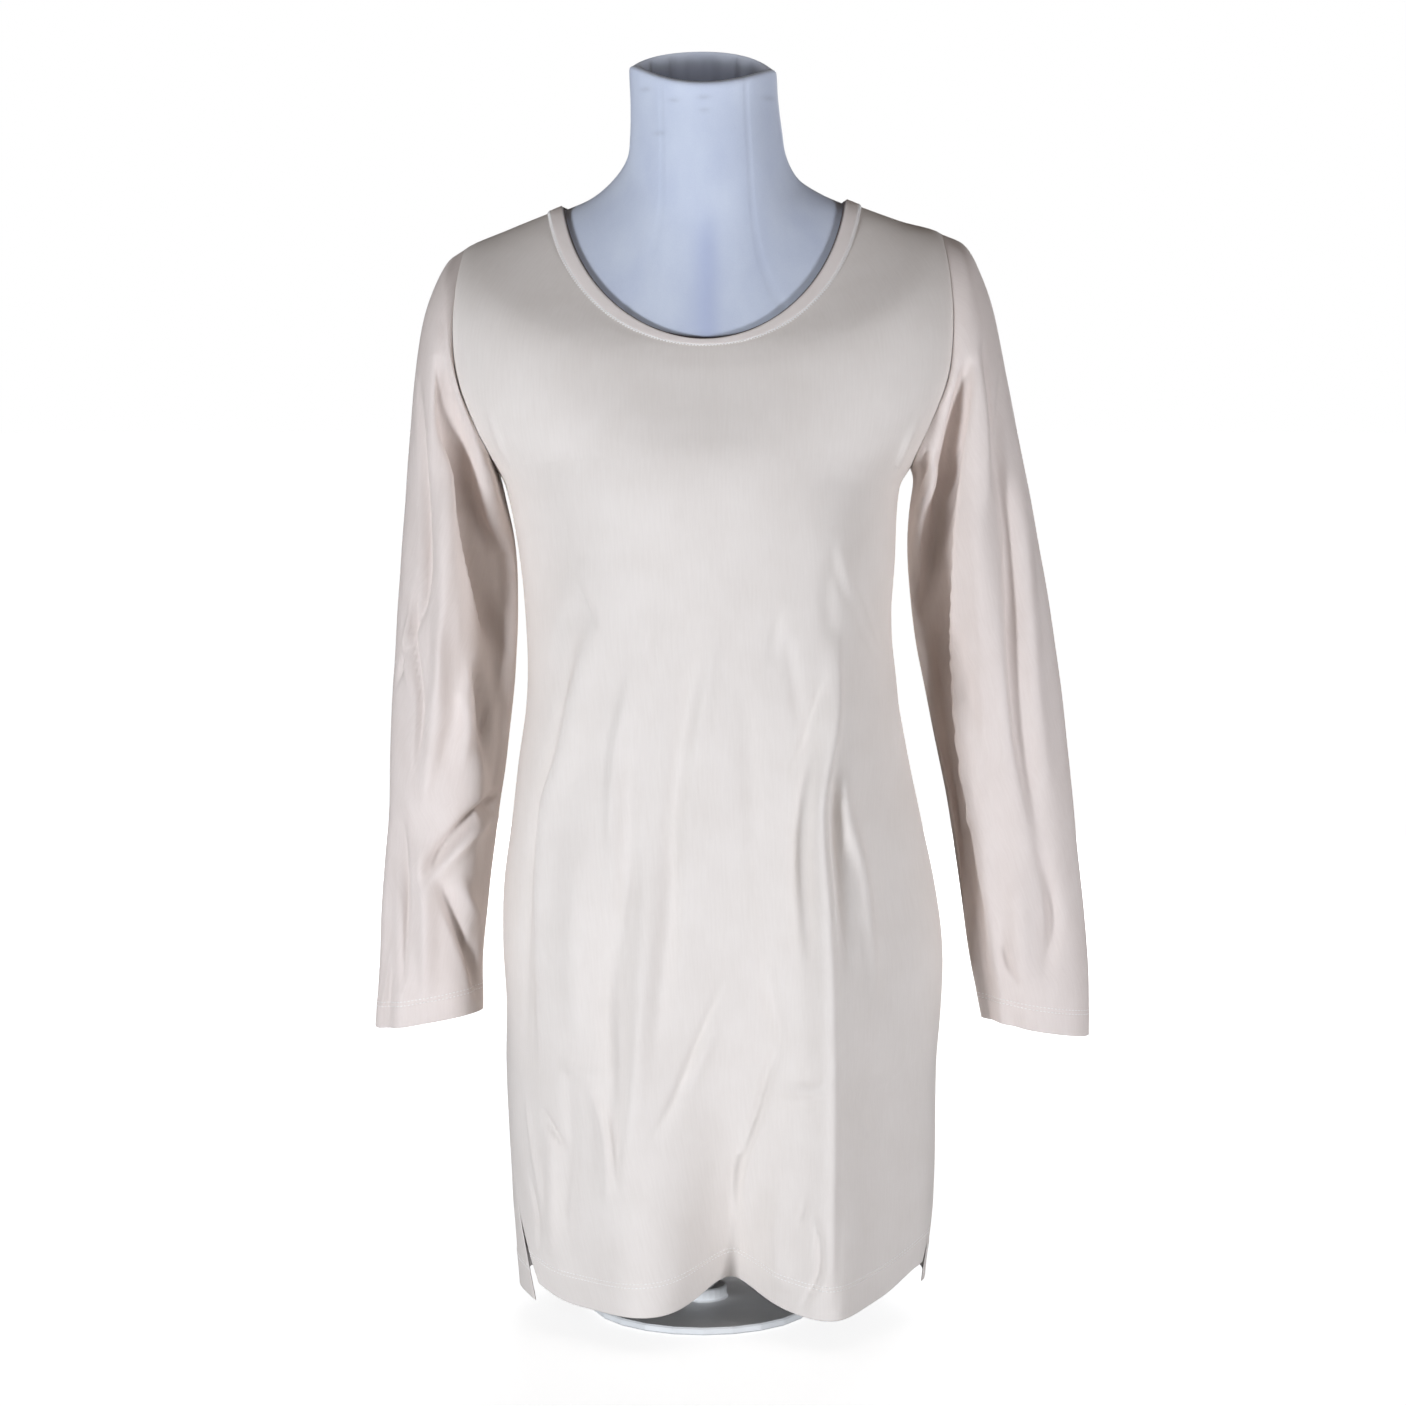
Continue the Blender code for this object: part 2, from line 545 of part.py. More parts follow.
def sleeve_normals(surface, side):
    """Outward unit normals of a grid of rings, from each point's neighbours."""
    along = np.roll(surface, -1, axis=1) - np.roll(surface, 1, axis=1)
    down = np.gradient(surface, axis=0)
    n = np.cross(along, down) * side
    return n / np.linalg.norm(n, axis=-1, keepdims=True)


def make_sleeve(side, table, folds, name, material):
    """A sleeve from its armhole to its cuff, as one tube."""
    fine = np.arange(0, SLEEVE_FINE_RINGS, SLEEVE_FINE_STEP)
    coarse = np.arange(SLEEVE_FINE_RINGS, len(table), SLEEVE_STEP)
    wanted = np.concatenate([fine, coarse, [len(table)]])
    outer = sleeve_surface(side, table, folds, wanted)
    inner = outer - WALL * sleeve_normals(outer, side)
    if side < 0:
        outer, inner = outer[:, ::-1], inner[:, ::-1]
    return tube_solid(outer[::-1], inner[::-1], name, material)


def make_band(name, material):
    """The neck band: a flat strip round the whole neckline, lying on the panels' outer side
    and made from the panels' own points, moved out."""
    grids = [panel_grid(+1, BACK_HEM_Z)[0][-1], panel_grid(-1, FRONT_HEM_Z)[0][-1]]
    turn = np.concatenate([[0.0], grids[0][1:-1], [np.pi], grids[1][1:-1]])
    level = band_levels(turn)
    turn = turn + 0 * level
    low = STANDOFF + SEAM_GAP
    outer = lift(turn, level, low + BAND_THICKNESS)
    inner = lift(turn, level, low)
    return tube_solid(outer, inner, name, material)


def make_form(name, material):
    """The dress form: a smooth torso with rounded shoulder ends, and a neck whose top is
    hollow, its cover tucked in over the rim. Under the yoke its rings are at the same levels as
    the panels' rows, so that their flat faces stay the same distance apart."""
    turn = np.arange(FORM_COLUMNS) * 2 * np.pi / FORM_COLUMNS
    lower = np.array([row[0] for row in FORM_LOWER])[:, None] + 0 * turn
    neck = np.array([row[0] for row in NECK])[:, None] + 0 * turn
    level = np.concatenate([lower, upper_levels(turn), neck])
    outside = form(turn + 0 * level, level)
    rim = outside[-1]
    centre = rim.mean(axis=0)
    hollow = []
    for inset, depth in NECK_HOLLOW:
        ring = rim + (centre - rim) * inset / RIM_RADIUS
        hollow.append(ring - np.array([0.0, 0.0, depth]))
    rings = np.concatenate([outside, np.array(hollow)])
    low = np.array([0.0, 0.0, FORM_BOTTOM_Z])
    high = hollow[-1].mean(axis=0)
    return capped_solid(rings, low, high, name, material)


def turned(profile, name, material):
    """A solid of revolution about the Z axis from (radius, height) points, low to high."""
    angle = np.arange(ROUND_SIDES) * 2 * np.pi / ROUND_SIDES
    circle = np.stack([np.cos(angle), np.sin(angle), 0 * angle], -1)
    rings = np.array([r * circle + np.array([0.0, 0.0, z]) for r, z in profile])
    low = np.array([0.0, 0.0, profile[0][1]])
    high = np.array([0.0, 0.0, profile[-1][1]])
    return capped_solid(rings, low, high, name, material)


def make_stand(paint, steel):
    """The round base plate with its boss, the post, and the socket under the form."""
    top = BASE_THICKNESS
    boss_top = top + BOSS_HEIGHT
    turned(
        (
            (BASE_RADIUS - BEVEL, 0.0),
            (BASE_RADIUS, BEVEL),
            (BASE_RADIUS, top - BEVEL),
            (BASE_RADIUS - BEVEL, top),
            (BOSS_RADIUS + BEVEL, top),
            (BOSS_RADIUS, top + BEVEL),
            (BOSS_RADIUS, boss_top - BEVEL),
            (BOSS_RADIUS - BEVEL, boss_top),
        ),
        "base_plate",
        paint,
    )
    socket_top = FORM_BOTTOM_Z - SEAM_GAP
    socket_low = socket_top - SOCKET_THICKNESS - SOCKET_BOSS_HEIGHT
    post = ((POST_RADIUS, boss_top + SEAM_GAP), (POST_RADIUS, socket_low - SEAM_GAP))
    turned(post, "post", steel)
    turned(
        (
            (BOSS_RADIUS - BEVEL, socket_low),
            (BOSS_RADIUS, socket_low + BEVEL),
            (BOSS_RADIUS, socket_top - SOCKET_THICKNESS),
            (SOCKET_RADIUS, socket_top - SOCKET_THICKNESS),
            (SOCKET_RADIUS, socket_top),
        ),
        "form_socket",
        steel,
    )


def make_material(name, colour, roughness, metallic):
    """A plain finish."""
    material = bpy.data.materials.new(name)
    material.use_nodes = True
    shader = material.node_tree.nodes["Principled BSDF"]
    shader.inputs["Base Color"].default_value = (*colour, 1.0)
    shader.inputs["Roughness"].default_value = roughness
    shader.inputs["Metallic"].default_value = metallic
    material.diffuse_color = (*colour, 1.0)
    return material


def face_outwards(made):
    """Recalculates the faces' direction of a closed body, so that they point out."""
    shape = bmesh.new()
    shape.from_mesh(made.data)
    bmesh.ops.recalc_face_normals(shape, faces=shape.faces)
    shape.to_mesh(made.data)
    shape.free()


def main():
    for old in list(bpy.data.objects):
        bpy.data.objects.remove(old, do_unlink=True)
    finish = {name: make_material(name, *values) for name, values in MATERIALS.items()}
    jersey = finish["tunic_jersey"]
    make_panel(-1, FRONT_HEM_Z, "front_panel", jersey)
    make_panel(+1, BACK_HEM_Z, "back_panel", jersey)
    make_sleeve(-1, SLEEVE_LEFT, SLEEVE_LEFT_FOLDS, "sleeve_left", jersey)
    make_sleeve(+1, SLEEVE_RIGHT, SLEEVE_RIGHT_FOLDS, "sleeve_right", jersey)
    make_band("neck_band", jersey)
    make_form("form", finish["form_cover"])
    make_stand(finish["white_paint"], finish["brushed_steel"])
    for made in bpy.context.scene.objects:
        face_outwards(made)


main()
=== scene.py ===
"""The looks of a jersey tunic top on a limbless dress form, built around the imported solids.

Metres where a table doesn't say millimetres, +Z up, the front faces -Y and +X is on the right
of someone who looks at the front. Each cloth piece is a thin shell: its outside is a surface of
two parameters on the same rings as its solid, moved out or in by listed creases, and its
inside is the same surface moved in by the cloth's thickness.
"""

from collections import namedtuple

import bpy
import numpy as np
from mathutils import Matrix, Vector


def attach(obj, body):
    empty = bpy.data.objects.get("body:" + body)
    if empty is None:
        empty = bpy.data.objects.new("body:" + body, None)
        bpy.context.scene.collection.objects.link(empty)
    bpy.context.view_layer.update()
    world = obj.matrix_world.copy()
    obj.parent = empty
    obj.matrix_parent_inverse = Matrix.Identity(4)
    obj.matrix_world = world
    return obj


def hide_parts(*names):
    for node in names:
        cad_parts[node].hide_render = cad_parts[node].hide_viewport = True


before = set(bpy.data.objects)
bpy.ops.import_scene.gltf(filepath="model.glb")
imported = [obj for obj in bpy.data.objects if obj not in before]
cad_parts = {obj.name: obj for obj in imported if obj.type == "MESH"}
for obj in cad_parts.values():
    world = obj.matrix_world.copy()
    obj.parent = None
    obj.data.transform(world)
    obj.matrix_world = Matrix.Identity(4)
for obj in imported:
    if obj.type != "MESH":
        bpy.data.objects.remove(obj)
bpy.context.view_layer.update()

# The cloth and how it lies
STANDOFF = 0.0027  # from the form to the outside of the cloth
SEAM_GAP = 0.00015  # between two sewn pieces
JERSEY = 0.0009  # thickness of one layer
HEM_LAYER = 0.0006  # what the turned up layer adds
HEM_DEPTH = 0.027  # from the edge to the upper row of hem stitches
CUFF_DEPTH = 0.020

# The tunic's hem, slits and armholes, as in its solids
FRONT_HEM_Z = 0.0245
BACK_HEM_Z = 0.0115
HEM_TAKES_UP = 0.070  # the levels above the hem that its rises are spread over
HEM_EVENS_POWER = 1.5
SEAM_SWING_LEFT = np.radians(32)
SEAM_SWING_RIGHT = np.radians(18)
SEAM_SWING_TOP_Z = 0.25
SEAM_SWING_POWER = 1.2
SLIT_TOP_Z = 0.095
SLIT_OPEN_LEFT = 0.0045
SLIT_OPEN_RIGHT = 0.0025
BUST_LEVEL = 0.650
ARMPIT_LEVEL = 0.675
SHOULDER_LEVEL = 0.785
NECK_LEVEL = 0.815
ARMHOLE_HALF_DEPTH = 0.050
ARMHOLE_SQUARENESS = 2.4
UNDERARM_EXTRA_GAP = 0.3
BAND_WIDTH = 0.0105
BAND_OVERHANG = 0.0018  # how far it reaches in past the neckline
BAND_THICKNESS = 0.0012

# How finely the pieces are divided
SIDE_COLUMNS = (0.0, 0.002, 0.004, 0.0065, 0.0095, 0.0135, 0.0185)  # shares of the width
PANEL_COLUMNS = 165
HEM_ROWS = 36
HEM_ROW_STEP = 0.001
PANEL_LOW_ROWS = 126
BUST_ROWS = 7
ARMHOLE_ROWS = 52
YOKE_ROWS = 12
SLEEVE_COLUMNS = 132
SLEEVE_ROWS = 190
BAND_COLUMNS = 264
FORM_COLUMNS = 176
STEP = 1e-4  # for slopes, in radians or metres
HALVINGS = 40

# The tables from here to the creases' are in millimetres and degrees, and all other lengths
# are in metres
Ring = namedtuple(
    "Ring", "level middle half_width front back z_left z_right z_front z_back square soft"
)

# The form below the bust
FORM_LOWER = (
    # z, half_width, front, back, square
    (222, 134.5, 90, 96, 2.15),
    (226, 139.5, 94.5, 100.5, 2.15),
    (238, 144, 99, 105.5, 2.15),
    (280, 148.5, 104, 111, 2.15),
    (335, 143, 99, 107, 2.15),
    (400, 129, 90, 96, 2.1),
    (475, 116.5, 82, 82, 2.1),
    (530, 117.5, 85, 80, 2.1),
    (585, 129, 98, 86, 2.1),
    (622, 141, 114, 93, 2.1),
)

# From the bust to the neckline, for the form and the tunic
YOKE = (
    # level, middle, half_width, front, back, z_left, z_right, z_front, z_back, square, soft
    (650, 0, 150, 122, 98, 650, 650, 650, 650, 2.15, 0.6),
    (675, 0, 159, 118.5, 101, 668, 668, 677, 672, 2.2, 0.6),
    (700, 0, 181, 112, 101, 699, 702, 697, 705, 2.3, 0.5),
    (725, 0, 198.5, 105, 98, 738, 744, 715, 735, 2.4, 0.45),
    (748, 0, 203.5, 99, 92, 778, 786, 730, 765, 2.45, 0.4),
    (768, 0, 198.5, 94.2, 84, 810, 821, 742, 791, 2.45, 0.36),
    (785, 0, 183, 90.5, 74, 832, 844, 750, 815, 2.4, 0.32),
    (800, 0.5, 150, 87.2, 66.5, 847, 854, 757, 838, 2.25, 0.26),
    (815, 1, 108.5, 83.5, 61, 864, 869, 764, 856, 2.05, 0.2),
)

# From the neckline up to the rim of the form's neck
NECK = (
    (830, 1.5, 87.5, 75.5, 58, 873.5, 878, 785, 869, 2, 0.25),
    (845, 1.8, 71.7, 66.5, 55.5, 886.8, 888.5, 812, 883, 2, 0.35),
    (865, 2.8, 61.6, 58.5, 53.5, 903, 905, 845, 902, 2, 0.5),
    (890, 2.4, 58.6, 54.5, 51.5, 920, 924, 880, 926, 2, 0.6),
    (925, 1, 56.8, 51.5, 49, 946, 949, 924, 959, 2, 0.8),
    (950, 0, 56.7, 49.8, 47.5, 969.5, 966.5, 952.5, 985, 2, 1.5),
    (955, -0.3, 56, 48.8, 46.8, 974.5, 971.5, 958, 990, 2, 2),
)

# The outside of the tunic from the hem to below the bust
TUNIC_LOWER = (
    # z, middle, half_width, front, back, square
    (5, 15.5, 161, 105, 112, 2.2),
    (100, 16, 167.5, 112, 118, 2.25),
    (197, 14.5, 170, 117.5, 120, 2.3),
    (246, 16.5, 171.5, 120, 120, 2.3),
    (294, 15.5, 173, 121.5, 119.5, 2.3),
    (342, 12.8, 169.2, 122.5, 117.5, 2.25),
    (390, 10.8, 160.8, 122.5, 114.5, 2.25),
    (437, 8.5, 153, 122.5, 110, 2.2),
    (485, 7.3, 145.3, 122.5, 105, 2.2),
    (532, 4.5, 142, 122.5, 101, 2.15),
    (594, 3.5, 146, 124, 99.5, 2.15),
)

# The large folds of the panels, as in the solids: from x_top at z_top down to x_hem at the hem
Fold = namedtuple("Fold", "x_top x_hem z_top width_left width_right height power")
FRONT_FOLDS = (
    (-88, -124, 600, 18, 30, 8.5, 0.45),
    (-60, -50, 420, 40, 45, 26, 1.6),
    (24, 21, 260, 30, 26, -34, 1.5),
    (104, 101, 660, 34, 22, 30, 0.8),
    (150, 150, 420, 20, 16, -6, 1),
)
BACK_FOLDS = (
    (95, 104, 620, 26, 32, 17, 0.9),
    (50, 56, 330, 24, 24, -15, 1.3),
    (0, 8, 480, 30, 30, 13, 1.1),
    (-40, -38, 300, 22, 24, -13, 1.4),
    (-85, -94, 600, 34, 26, 17, 0.8),
)
FOLDS_FULL_FROM = 0.45

# Places where a panel's hem stands above its lowest line
HemRise = namedtuple("HemRise", "x width rise")
FRONT_HEM_RISES = (
    (21, 32, 19),
    (-135, 22, 12.5),
    (100, 30, -2.5),
    (174, 26, 19),
)
BACK_HEM_RISES = (
    (172, 34, 15),
    (8, 50, 3),
    (-135, 28, 9),
)

# Rings of a sleeve below the armhole, and its large folds, as in the solids
SleeveRing = namedtuple(
    "SleeveRing", "outer_x outer_z inner_x inner_z half_depth y_middle bow"
)
SLEEVE_LEFT = (
    (-197.7, 824, -156.5, 655, 54.5, 0, 13),
    (-209.4, 801, -152, 636, 56, 0, 13),
    (-218.2, 770, -147.7, 614, 55.5, 0, 9),
    (-224.8, 722, -145, 590, 53, -1, 5),
    (-229.2, 670, -144.5, 565, 50, -2, 2),
    (-234.7, 602, -144.8, 533, 47, -4, 0),
    (-239.6, 532, -148, 490, 43.5, -6, 0),
    (-244, 460, -153.5, 440, 40, -8, 0),
    (-245.7, 400, -160.5, 393, 36, -11, 0),
    (-251.4, 335, -167.5, 337, 31.5, -14, 0),
    (-253.8, 280, -172.5, 288, 27.5, -17, 0),
    (-257.2, 229, -173, 243, 24.5, -19, 0),
)
SLEEVE_RIGHT = (
    (202.7, 837, 163.5, 655, 54.5, 0, 12),
    (215.2, 814, 161, 635, 56, 0, 12),
    (226.2, 782, 159.5, 612, 55.5, 0, 8),
    (236.7, 730, 159.8, 587, 53, -1, 4),
    (248.6, 672, 162.2, 560, 50, -2, 2),
    (262, 605, 167, 526, 47, -4, 0),
    (274.8, 532, 175, 486, 43.5, -6, 0),
    (284, 460, 184.6, 440, 40, -8, 0),
    (290, 402, 193.5, 392, 36, -11, 0),
    (297.6, 332, 202, 332, 31.5, -14, 0),
    (302.4, 280, 210, 280, 27.5, -17, 0),
    (303.2, 222.5, 219, 236, 24.5, -19, 0),
)
SleeveFold = namedtuple("SleeveFold", "height ring_top ring_end turn_top turn_end width")
SLEEVE_LEFT_FOLDS = (
    (3.2, 2, 9, 70, 62, 16),
    (-4, 3.5, 7, 140, 128, 15),
    (-3.5, 6.5, 9.5, 118, 60, 13),
    (4.8, 8.5, 12, 58, 62, 15),
    (-3, 8.5, 12, 35, 40, 12),
    (-3, 3, 9, 250, 285, 20),
    (3, 8, 12, 300, 290, 16),
)
SLEEVE_RIGHT_FOLDS = (
    (-5, 2.5, 7.5, 150, 120, 15),
    (3, 4, 11, 84, 88, 14),
    (-3, 3, 10, 62, 72, 12),
    (-3.2, 7, 12, 128, 120, 14),
    (-3.5, 4, 10, 280, 250, 20),
    (3, 8, 12, 230, 240, 16),
)

# A crease runs through its places, each an x and a z as seen from the front or the back, from
# its start to its end, and fades at both. Its height stands out of the cloth, or in where it is
# negative, and falls off over one width on the left of its run and another on the right.
Crease = namedtuple("Crease", "places left right height")
FRONT_CREASES = (
    # under the bust on the left
    ((-112, 606, -95, 585, -84, 560, -80, 549), 3, 2.2, -0.9),
    ((-118, 598, -103, 583, -92, 563), 2.8, 2.8, -0.5),
    ((-96, 600, -108, 560, -118, 520), 12, 10, 1),
    ((-88, 575, -103, 535, -114, 500), 9, 9, -1.2),
    # the long edge on the left
    ((-84, 555, -98, 497, -106, 453, -118, 410, -123, 346, -124, 280, -124, 205), 4.8, 14, 4.8),
    ((-98, 540, -110, 480, -127, 400, -135, 320, -136, 220), 8, 6, -2.2),
    # soft drapes between the two large folds
    ((-39, 562, -40, 529, -34, 508), 2.2, 3, -1),
    ((-52, 525, -64, 465, -69, 410, -68, 340), 4, 12, 2),
    ((-56, 480, -58, 410, -58, 340, -66, 260), 9, 8, -2.4),
    ((-2, 540, -12, 490, -17, 457, -23, 400, -24, 340, -30, 285, -40, 225), 8, 7, -2.8),
    ((10, 555, 2, 500, -6, 455), 6, 7, 1.3),
    ((31, 515, 36, 450, 40, 380, 46, 300), 8, 8, -1.4),
    ((58, 565, 51, 525), 4, 4, -0.9),
    ((62, 545, 70, 500, 74, 470), 5, 5, -1),
    ((-76, 345, -69, 272, -64, 213, -67, 140), 11, 9, -2.6),
    ((-42, 380, -45, 290, -51, 213, -62, 130), 9, 10, 3),
    ((-95, 380, -98, 300, -95, 240), 12, 12, 1.8),
    # the slanting crease and the trough beside the large fold on the right
    ((92, 516, 84, 492, 76, 466, 63, 434), 3, 4, -1.8),
    ((82, 475, 78, 420, 75, 370, 78, 300), 7, 6, -3.6),
    # the large fold's sharp crest on the right, down to the hem
    ((101, 545, 101, 505, 97, 468, 91, 435, 89, 405, 93, 355, 96, 301, 98, 213, 98, 123, 97, 30),
      12, 3.6, 6.4),
    ((98, 445, 97, 400, 101, 350, 105, 290), 4, 6, -3.8),
    ((104, 445, 108, 405, 118, 366, 125, 310, 131, 255), 6, 8, 3.6),
    # under the bust on the right
    ((100, 612, 110, 578, 116, 545), 6, 6, 0.8),
    ((96, 616, 102, 590, 118, 553, 134, 520), 4.5, 4.5, -0.9),
    ((116, 590, 126, 560, 136, 530), 3.5, 4, -0.7),
    ((98, 606, 94, 572, 100, 536), 7, 6, -0.8),
    ((150, 560, 147, 500, 150, 430), 6, 6, 1.6),
    # creases above the front hem
    ((16, 286, 3, 252, -13, 212, -29, 178, -42, 160), 2.8, 4, -2.4),
    ((12, 262, 0, 228, -16, 192), 5, 6, 1.6),
    ((49, 310, 52, 268, 62, 236), 7, 5, -1.8),
    ((59, 240, 48, 207, 39, 170, 34, 145), 2.8, 4, -2.4),
    ((46, 180, 34, 138, 30, 100), 3, 6, 2.2),
    ((32, 166, 24, 118, 24, 80, 23, 40), 6, 6, -1.2),
    ((60, 199, 82, 201, 96, 212), 3.5, 3, 2),
    ((52, 190, 75, 190, 94, 198), 4, 4, -1.4),
    ((108, 196, 122, 200, 140, 200, 162, 217), 3, 3, 1.6),
    ((113, 200, 121, 170, 128, 164, 142, 180), 3, 4, 1.3),
    ((123, 162, 130, 148, 136, 143), 3, 3, -1.2),
    ((-108, 218, -96, 211, -80, 209, -68, 207), 3, 5, 1.5),
    ((-88, 204, -77, 176, -73, 145, -74, 110), 4, 4, 1.8),
    ((-76, 190, -68, 160, -66, 120), 3, 3, -1.4),
    ((-104, 214, -100, 154, -103, 100, -100, 50), 6, 6, -1.4),
    ((-124, 176, -115, 160, -104, 143), 3, 4, -2.6),
    ((-118, 160, -116, 110, -118, 60), 6, 6, 1.8),
    ((79, 118, 73, 94), 2.5, 3.5, -1.2),
    ((83, 106, 89, 82, 88, 58, 73, 26), 2.5, 3.5, -2.2),
    ((60, 130, 56, 80, 60, 40), 9, 9, 1.6),
    # small puckers beside the lower left side seam
    ((-137, 180, -131, 140, -124, 100), 3, 3, 1.4),
    ((-134, 120, -128, 90, -127, 60), 2.5, 2.5, -1.4),
    # at the front edge of the armholes
    ((-163, 715, -155, 690, -146, 668), 5, 5, 1.2),
    ((163, 705, 153, 684, 146, 664), 5, 5, 1.4),
)
BACK_CREASES = (
    ((-60, 585, -72, 530, -84, 470, -90, 390), 6, 11, 3),
    ((-45, 560, -52, 510, -55, 455), 6, 6, -2),
    ((62, 592, 74, 540, 86, 480, 93, 400), 10, 6, 3),
    ((44, 566, 50, 515, 56, 450), 6, 6, -2.2),
    ((6, 560, 2, 500, 6, 430, 10, 350), 8, 8, 2),
    ((-20, 540, -24, 470, -26, 390), 7, 7, -1.8),
    ((28, 520, 30, 450, 32, 380), 7, 7, -1.6),
    ((-110, 600, -96, 572, -78, 548), 3.5, 3.5, -1.6),
    ((114, 606, 98, 580, 82, 560), 3.5, 3.5, -1.6),
    ((-120, 560, -108, 530, -100, 500), 5, 6, 1.6),
    ((-95, 330, -97, 240, -96, 150, -93, 50), 5, 11, 4.2),
    ((101, 320, 104, 230, 105, 140, 104, 50), 11, 5, 4.2),
    ((-62, 300, -56, 220, -50, 140, -44, 70), 8, 8, -2.8),
    ((56, 310, 60, 220, 64, 130), 8, 8, -2.8),
    ((16, 280, 4, 220, -10, 175), 3.5, 4.5, -2),
    ((30, 230, 22, 180, 20, 120), 5, 5, 1.8),
    ((-20, 200, -28, 150, -26, 90), 4.5, 4.5, 1.8),
    ((78, 190, 94, 198, 112, 214), 3, 3, 1.6),
    ((-70, 176, -88, 184, -106, 202), 3, 3, 1.6),
    ((-140, 240, -134, 170, -132, 100), 5, 5, 1.8),
    ((146, 240, 140, 170, 138, 100), 5, 5, 1.8),
    ((-70, 110, -74, 70, -70, 35), 3.5, 3.5, -1.6),
    ((134, 430, 138, 370, 140, 300), 7, 7, 2),
    ((-128, 440, -134, 370, -136, 300), 7, 7, 2),
)
SLEEVE_LEFT_CREASES = (
    ((-200, 785, -193, 762, -185, 738), 3.5, 5, -1.8),
    ((-191, 742, -185, 724, -180, 706), 4, 4, 2.2),
    ((-184, 720, -178, 706, -174, 692), 3, 3, -2.2),
    ((-176, 714, -172, 694, -164, 668), 4, 4, 2),
    ((-202, 752, -197, 700, -189, 655, -179, 601, -168, 551, -158, 515), 7, 7.5, -7),
    ((-170, 680, -164, 640, -157, 600), 7, 6, 4),
    ((-198, 722, -198, 640, -199, 555, -207, 470, -217, 395), 6, 9, 4.8),
    ((-217, 735, -214, 660, -212, 600, -216, 562, -225, 540), 4.5, 5, -4.2),
    ((-216, 590, -224, 551, -220, 512, -217, 480, -222, 430), 2.6, 3.4, -3),
    ((-224, 560, -229, 530, -226, 495), 3.5, 3.5, 2),
    ((-225, 536, -232, 515, -238, 498), 2.8, 2.8, -1.8),
    ((-206, 560, -203, 520, -206, 480), 4, 5, 2.2),
    ((-176, 522, -170, 480, -166, 430), 7, 6, -4.2),
    ((-187, 500, -182, 470, -186, 438), 4.5, 4.5, 2),
    ((-156, 414, -168, 405, -182, 394, -203, 372, -220, 343), 5, 3, -4.6),
    ((-160, 400, -176, 388, -194, 370, -208, 350), 3, 7, 3.4),
    ((-233, 400, -231, 329, -234, 262), 7, 4, -3.6),
    ((-219, 380, -216, 320, -217, 252), 5.5, 9, 4.2),
    ((-206, 350, -194, 318, -184, 290, -176, 250), 3.5, 8, -4.4),
    ((-190, 350, -182, 330, -174, 310), 6, 5, 2.6),
    ((-243, 300, -246, 270, -250, 245), 3, 3, 1.4),
)
SLEEVE_RIGHT_CREASES = (
    ((201, 752, 195, 700, 186, 651, 177, 590, 173, 545), 6, 7, -6.6),
    ((206, 742, 203, 677, 200, 620, 200, 524, 205, 450, 214, 385, 223, 329, 226, 270), 5, 12, 5),
    ((190, 600, 188, 530, 192, 460, 200, 390, 212, 320), 8, 6, -5),
    ((178, 668, 168, 620, 172, 565), 4, 5, 3.6),
    ((172, 690, 177, 668, 174, 640), 3, 3, 2.2),
    ((169, 694, 171, 672, 167, 645), 2.6, 2.6, -2.6),
    ((213, 765, 220, 704, 225, 645), 3.5, 3.5, -2.2),
    ((208, 760, 214, 700, 218, 640), 4.5, 4.5, 1.8),
    ((228, 745, 227, 677, 235, 605, 240, 505, 247, 445, 262, 375), 5, 7, -4),
    ((240, 700, 248, 600, 256, 500, 266, 420), 8, 8, 2.6),
    ((201, 446, 208, 418, 210, 395, 203, 370), 2.6, 3.4, -3),
    ((206, 440, 213, 412, 214, 390), 3, 4, 2.2),
    ((259, 380, 270, 335, 272, 305, 265, 272), 5, 6, -2.6),
    ((240, 360, 246, 310, 248, 262), 9, 9, 2.6),
    ((232, 300, 238, 280, 247, 262), 4, 4, -1.6),
    ((200, 560, 207, 530, 204, 495), 4, 4, 1.4),
)
SLEEVE_LEFT_BACK_CREASES = (
    ((-196, 760, -190, 690, -180, 620, -166, 550), 7, 7, -5.6),
    ((-212, 740, -208, 640, -206, 540, -212, 450), 7, 9, 4),
    ((-160, 470, -180, 455, -204, 438, -226, 430), 4, 3, -3.6),
    ((-158, 450, -178, 434, -200, 418), 4, 5, 2.8),
    ((-166, 420, -186, 402, -208, 386), 3, 4, -2.4),
    ((-222, 400, -218, 330, -222, 260), 7, 7, 3),
    ((-198, 360, -192, 310, -194, 262), 6, 6, -2.6),
    ((-226, 640, -222, 570, -228, 510), 4.5, 4.5, -2.4),
)
SLEEVE_RIGHT_BACK_CREASES = (
    ((202, 770, 198, 700, 188, 630, 178, 560), 7, 7, -5.6),
    ((222, 745, 226, 650, 232, 550, 240, 460), 9, 7, 4),
    ((190, 480, 212, 462, 238, 448, 262, 440), 3, 4, -3.4),
    ((190, 458, 212, 440, 236, 426), 5, 4, 2.8),
    ((198, 430, 220, 410, 244, 396), 4, 3, -2.2),
    ((262, 400, 266, 330, 270, 260), 7, 7, 3),
    ((238, 350, 240, 310, 244, 262), 6, 6, -2.6),
    ((250, 640, 254, 570, 262, 510), 4.5, 4.5, -2.4),
)


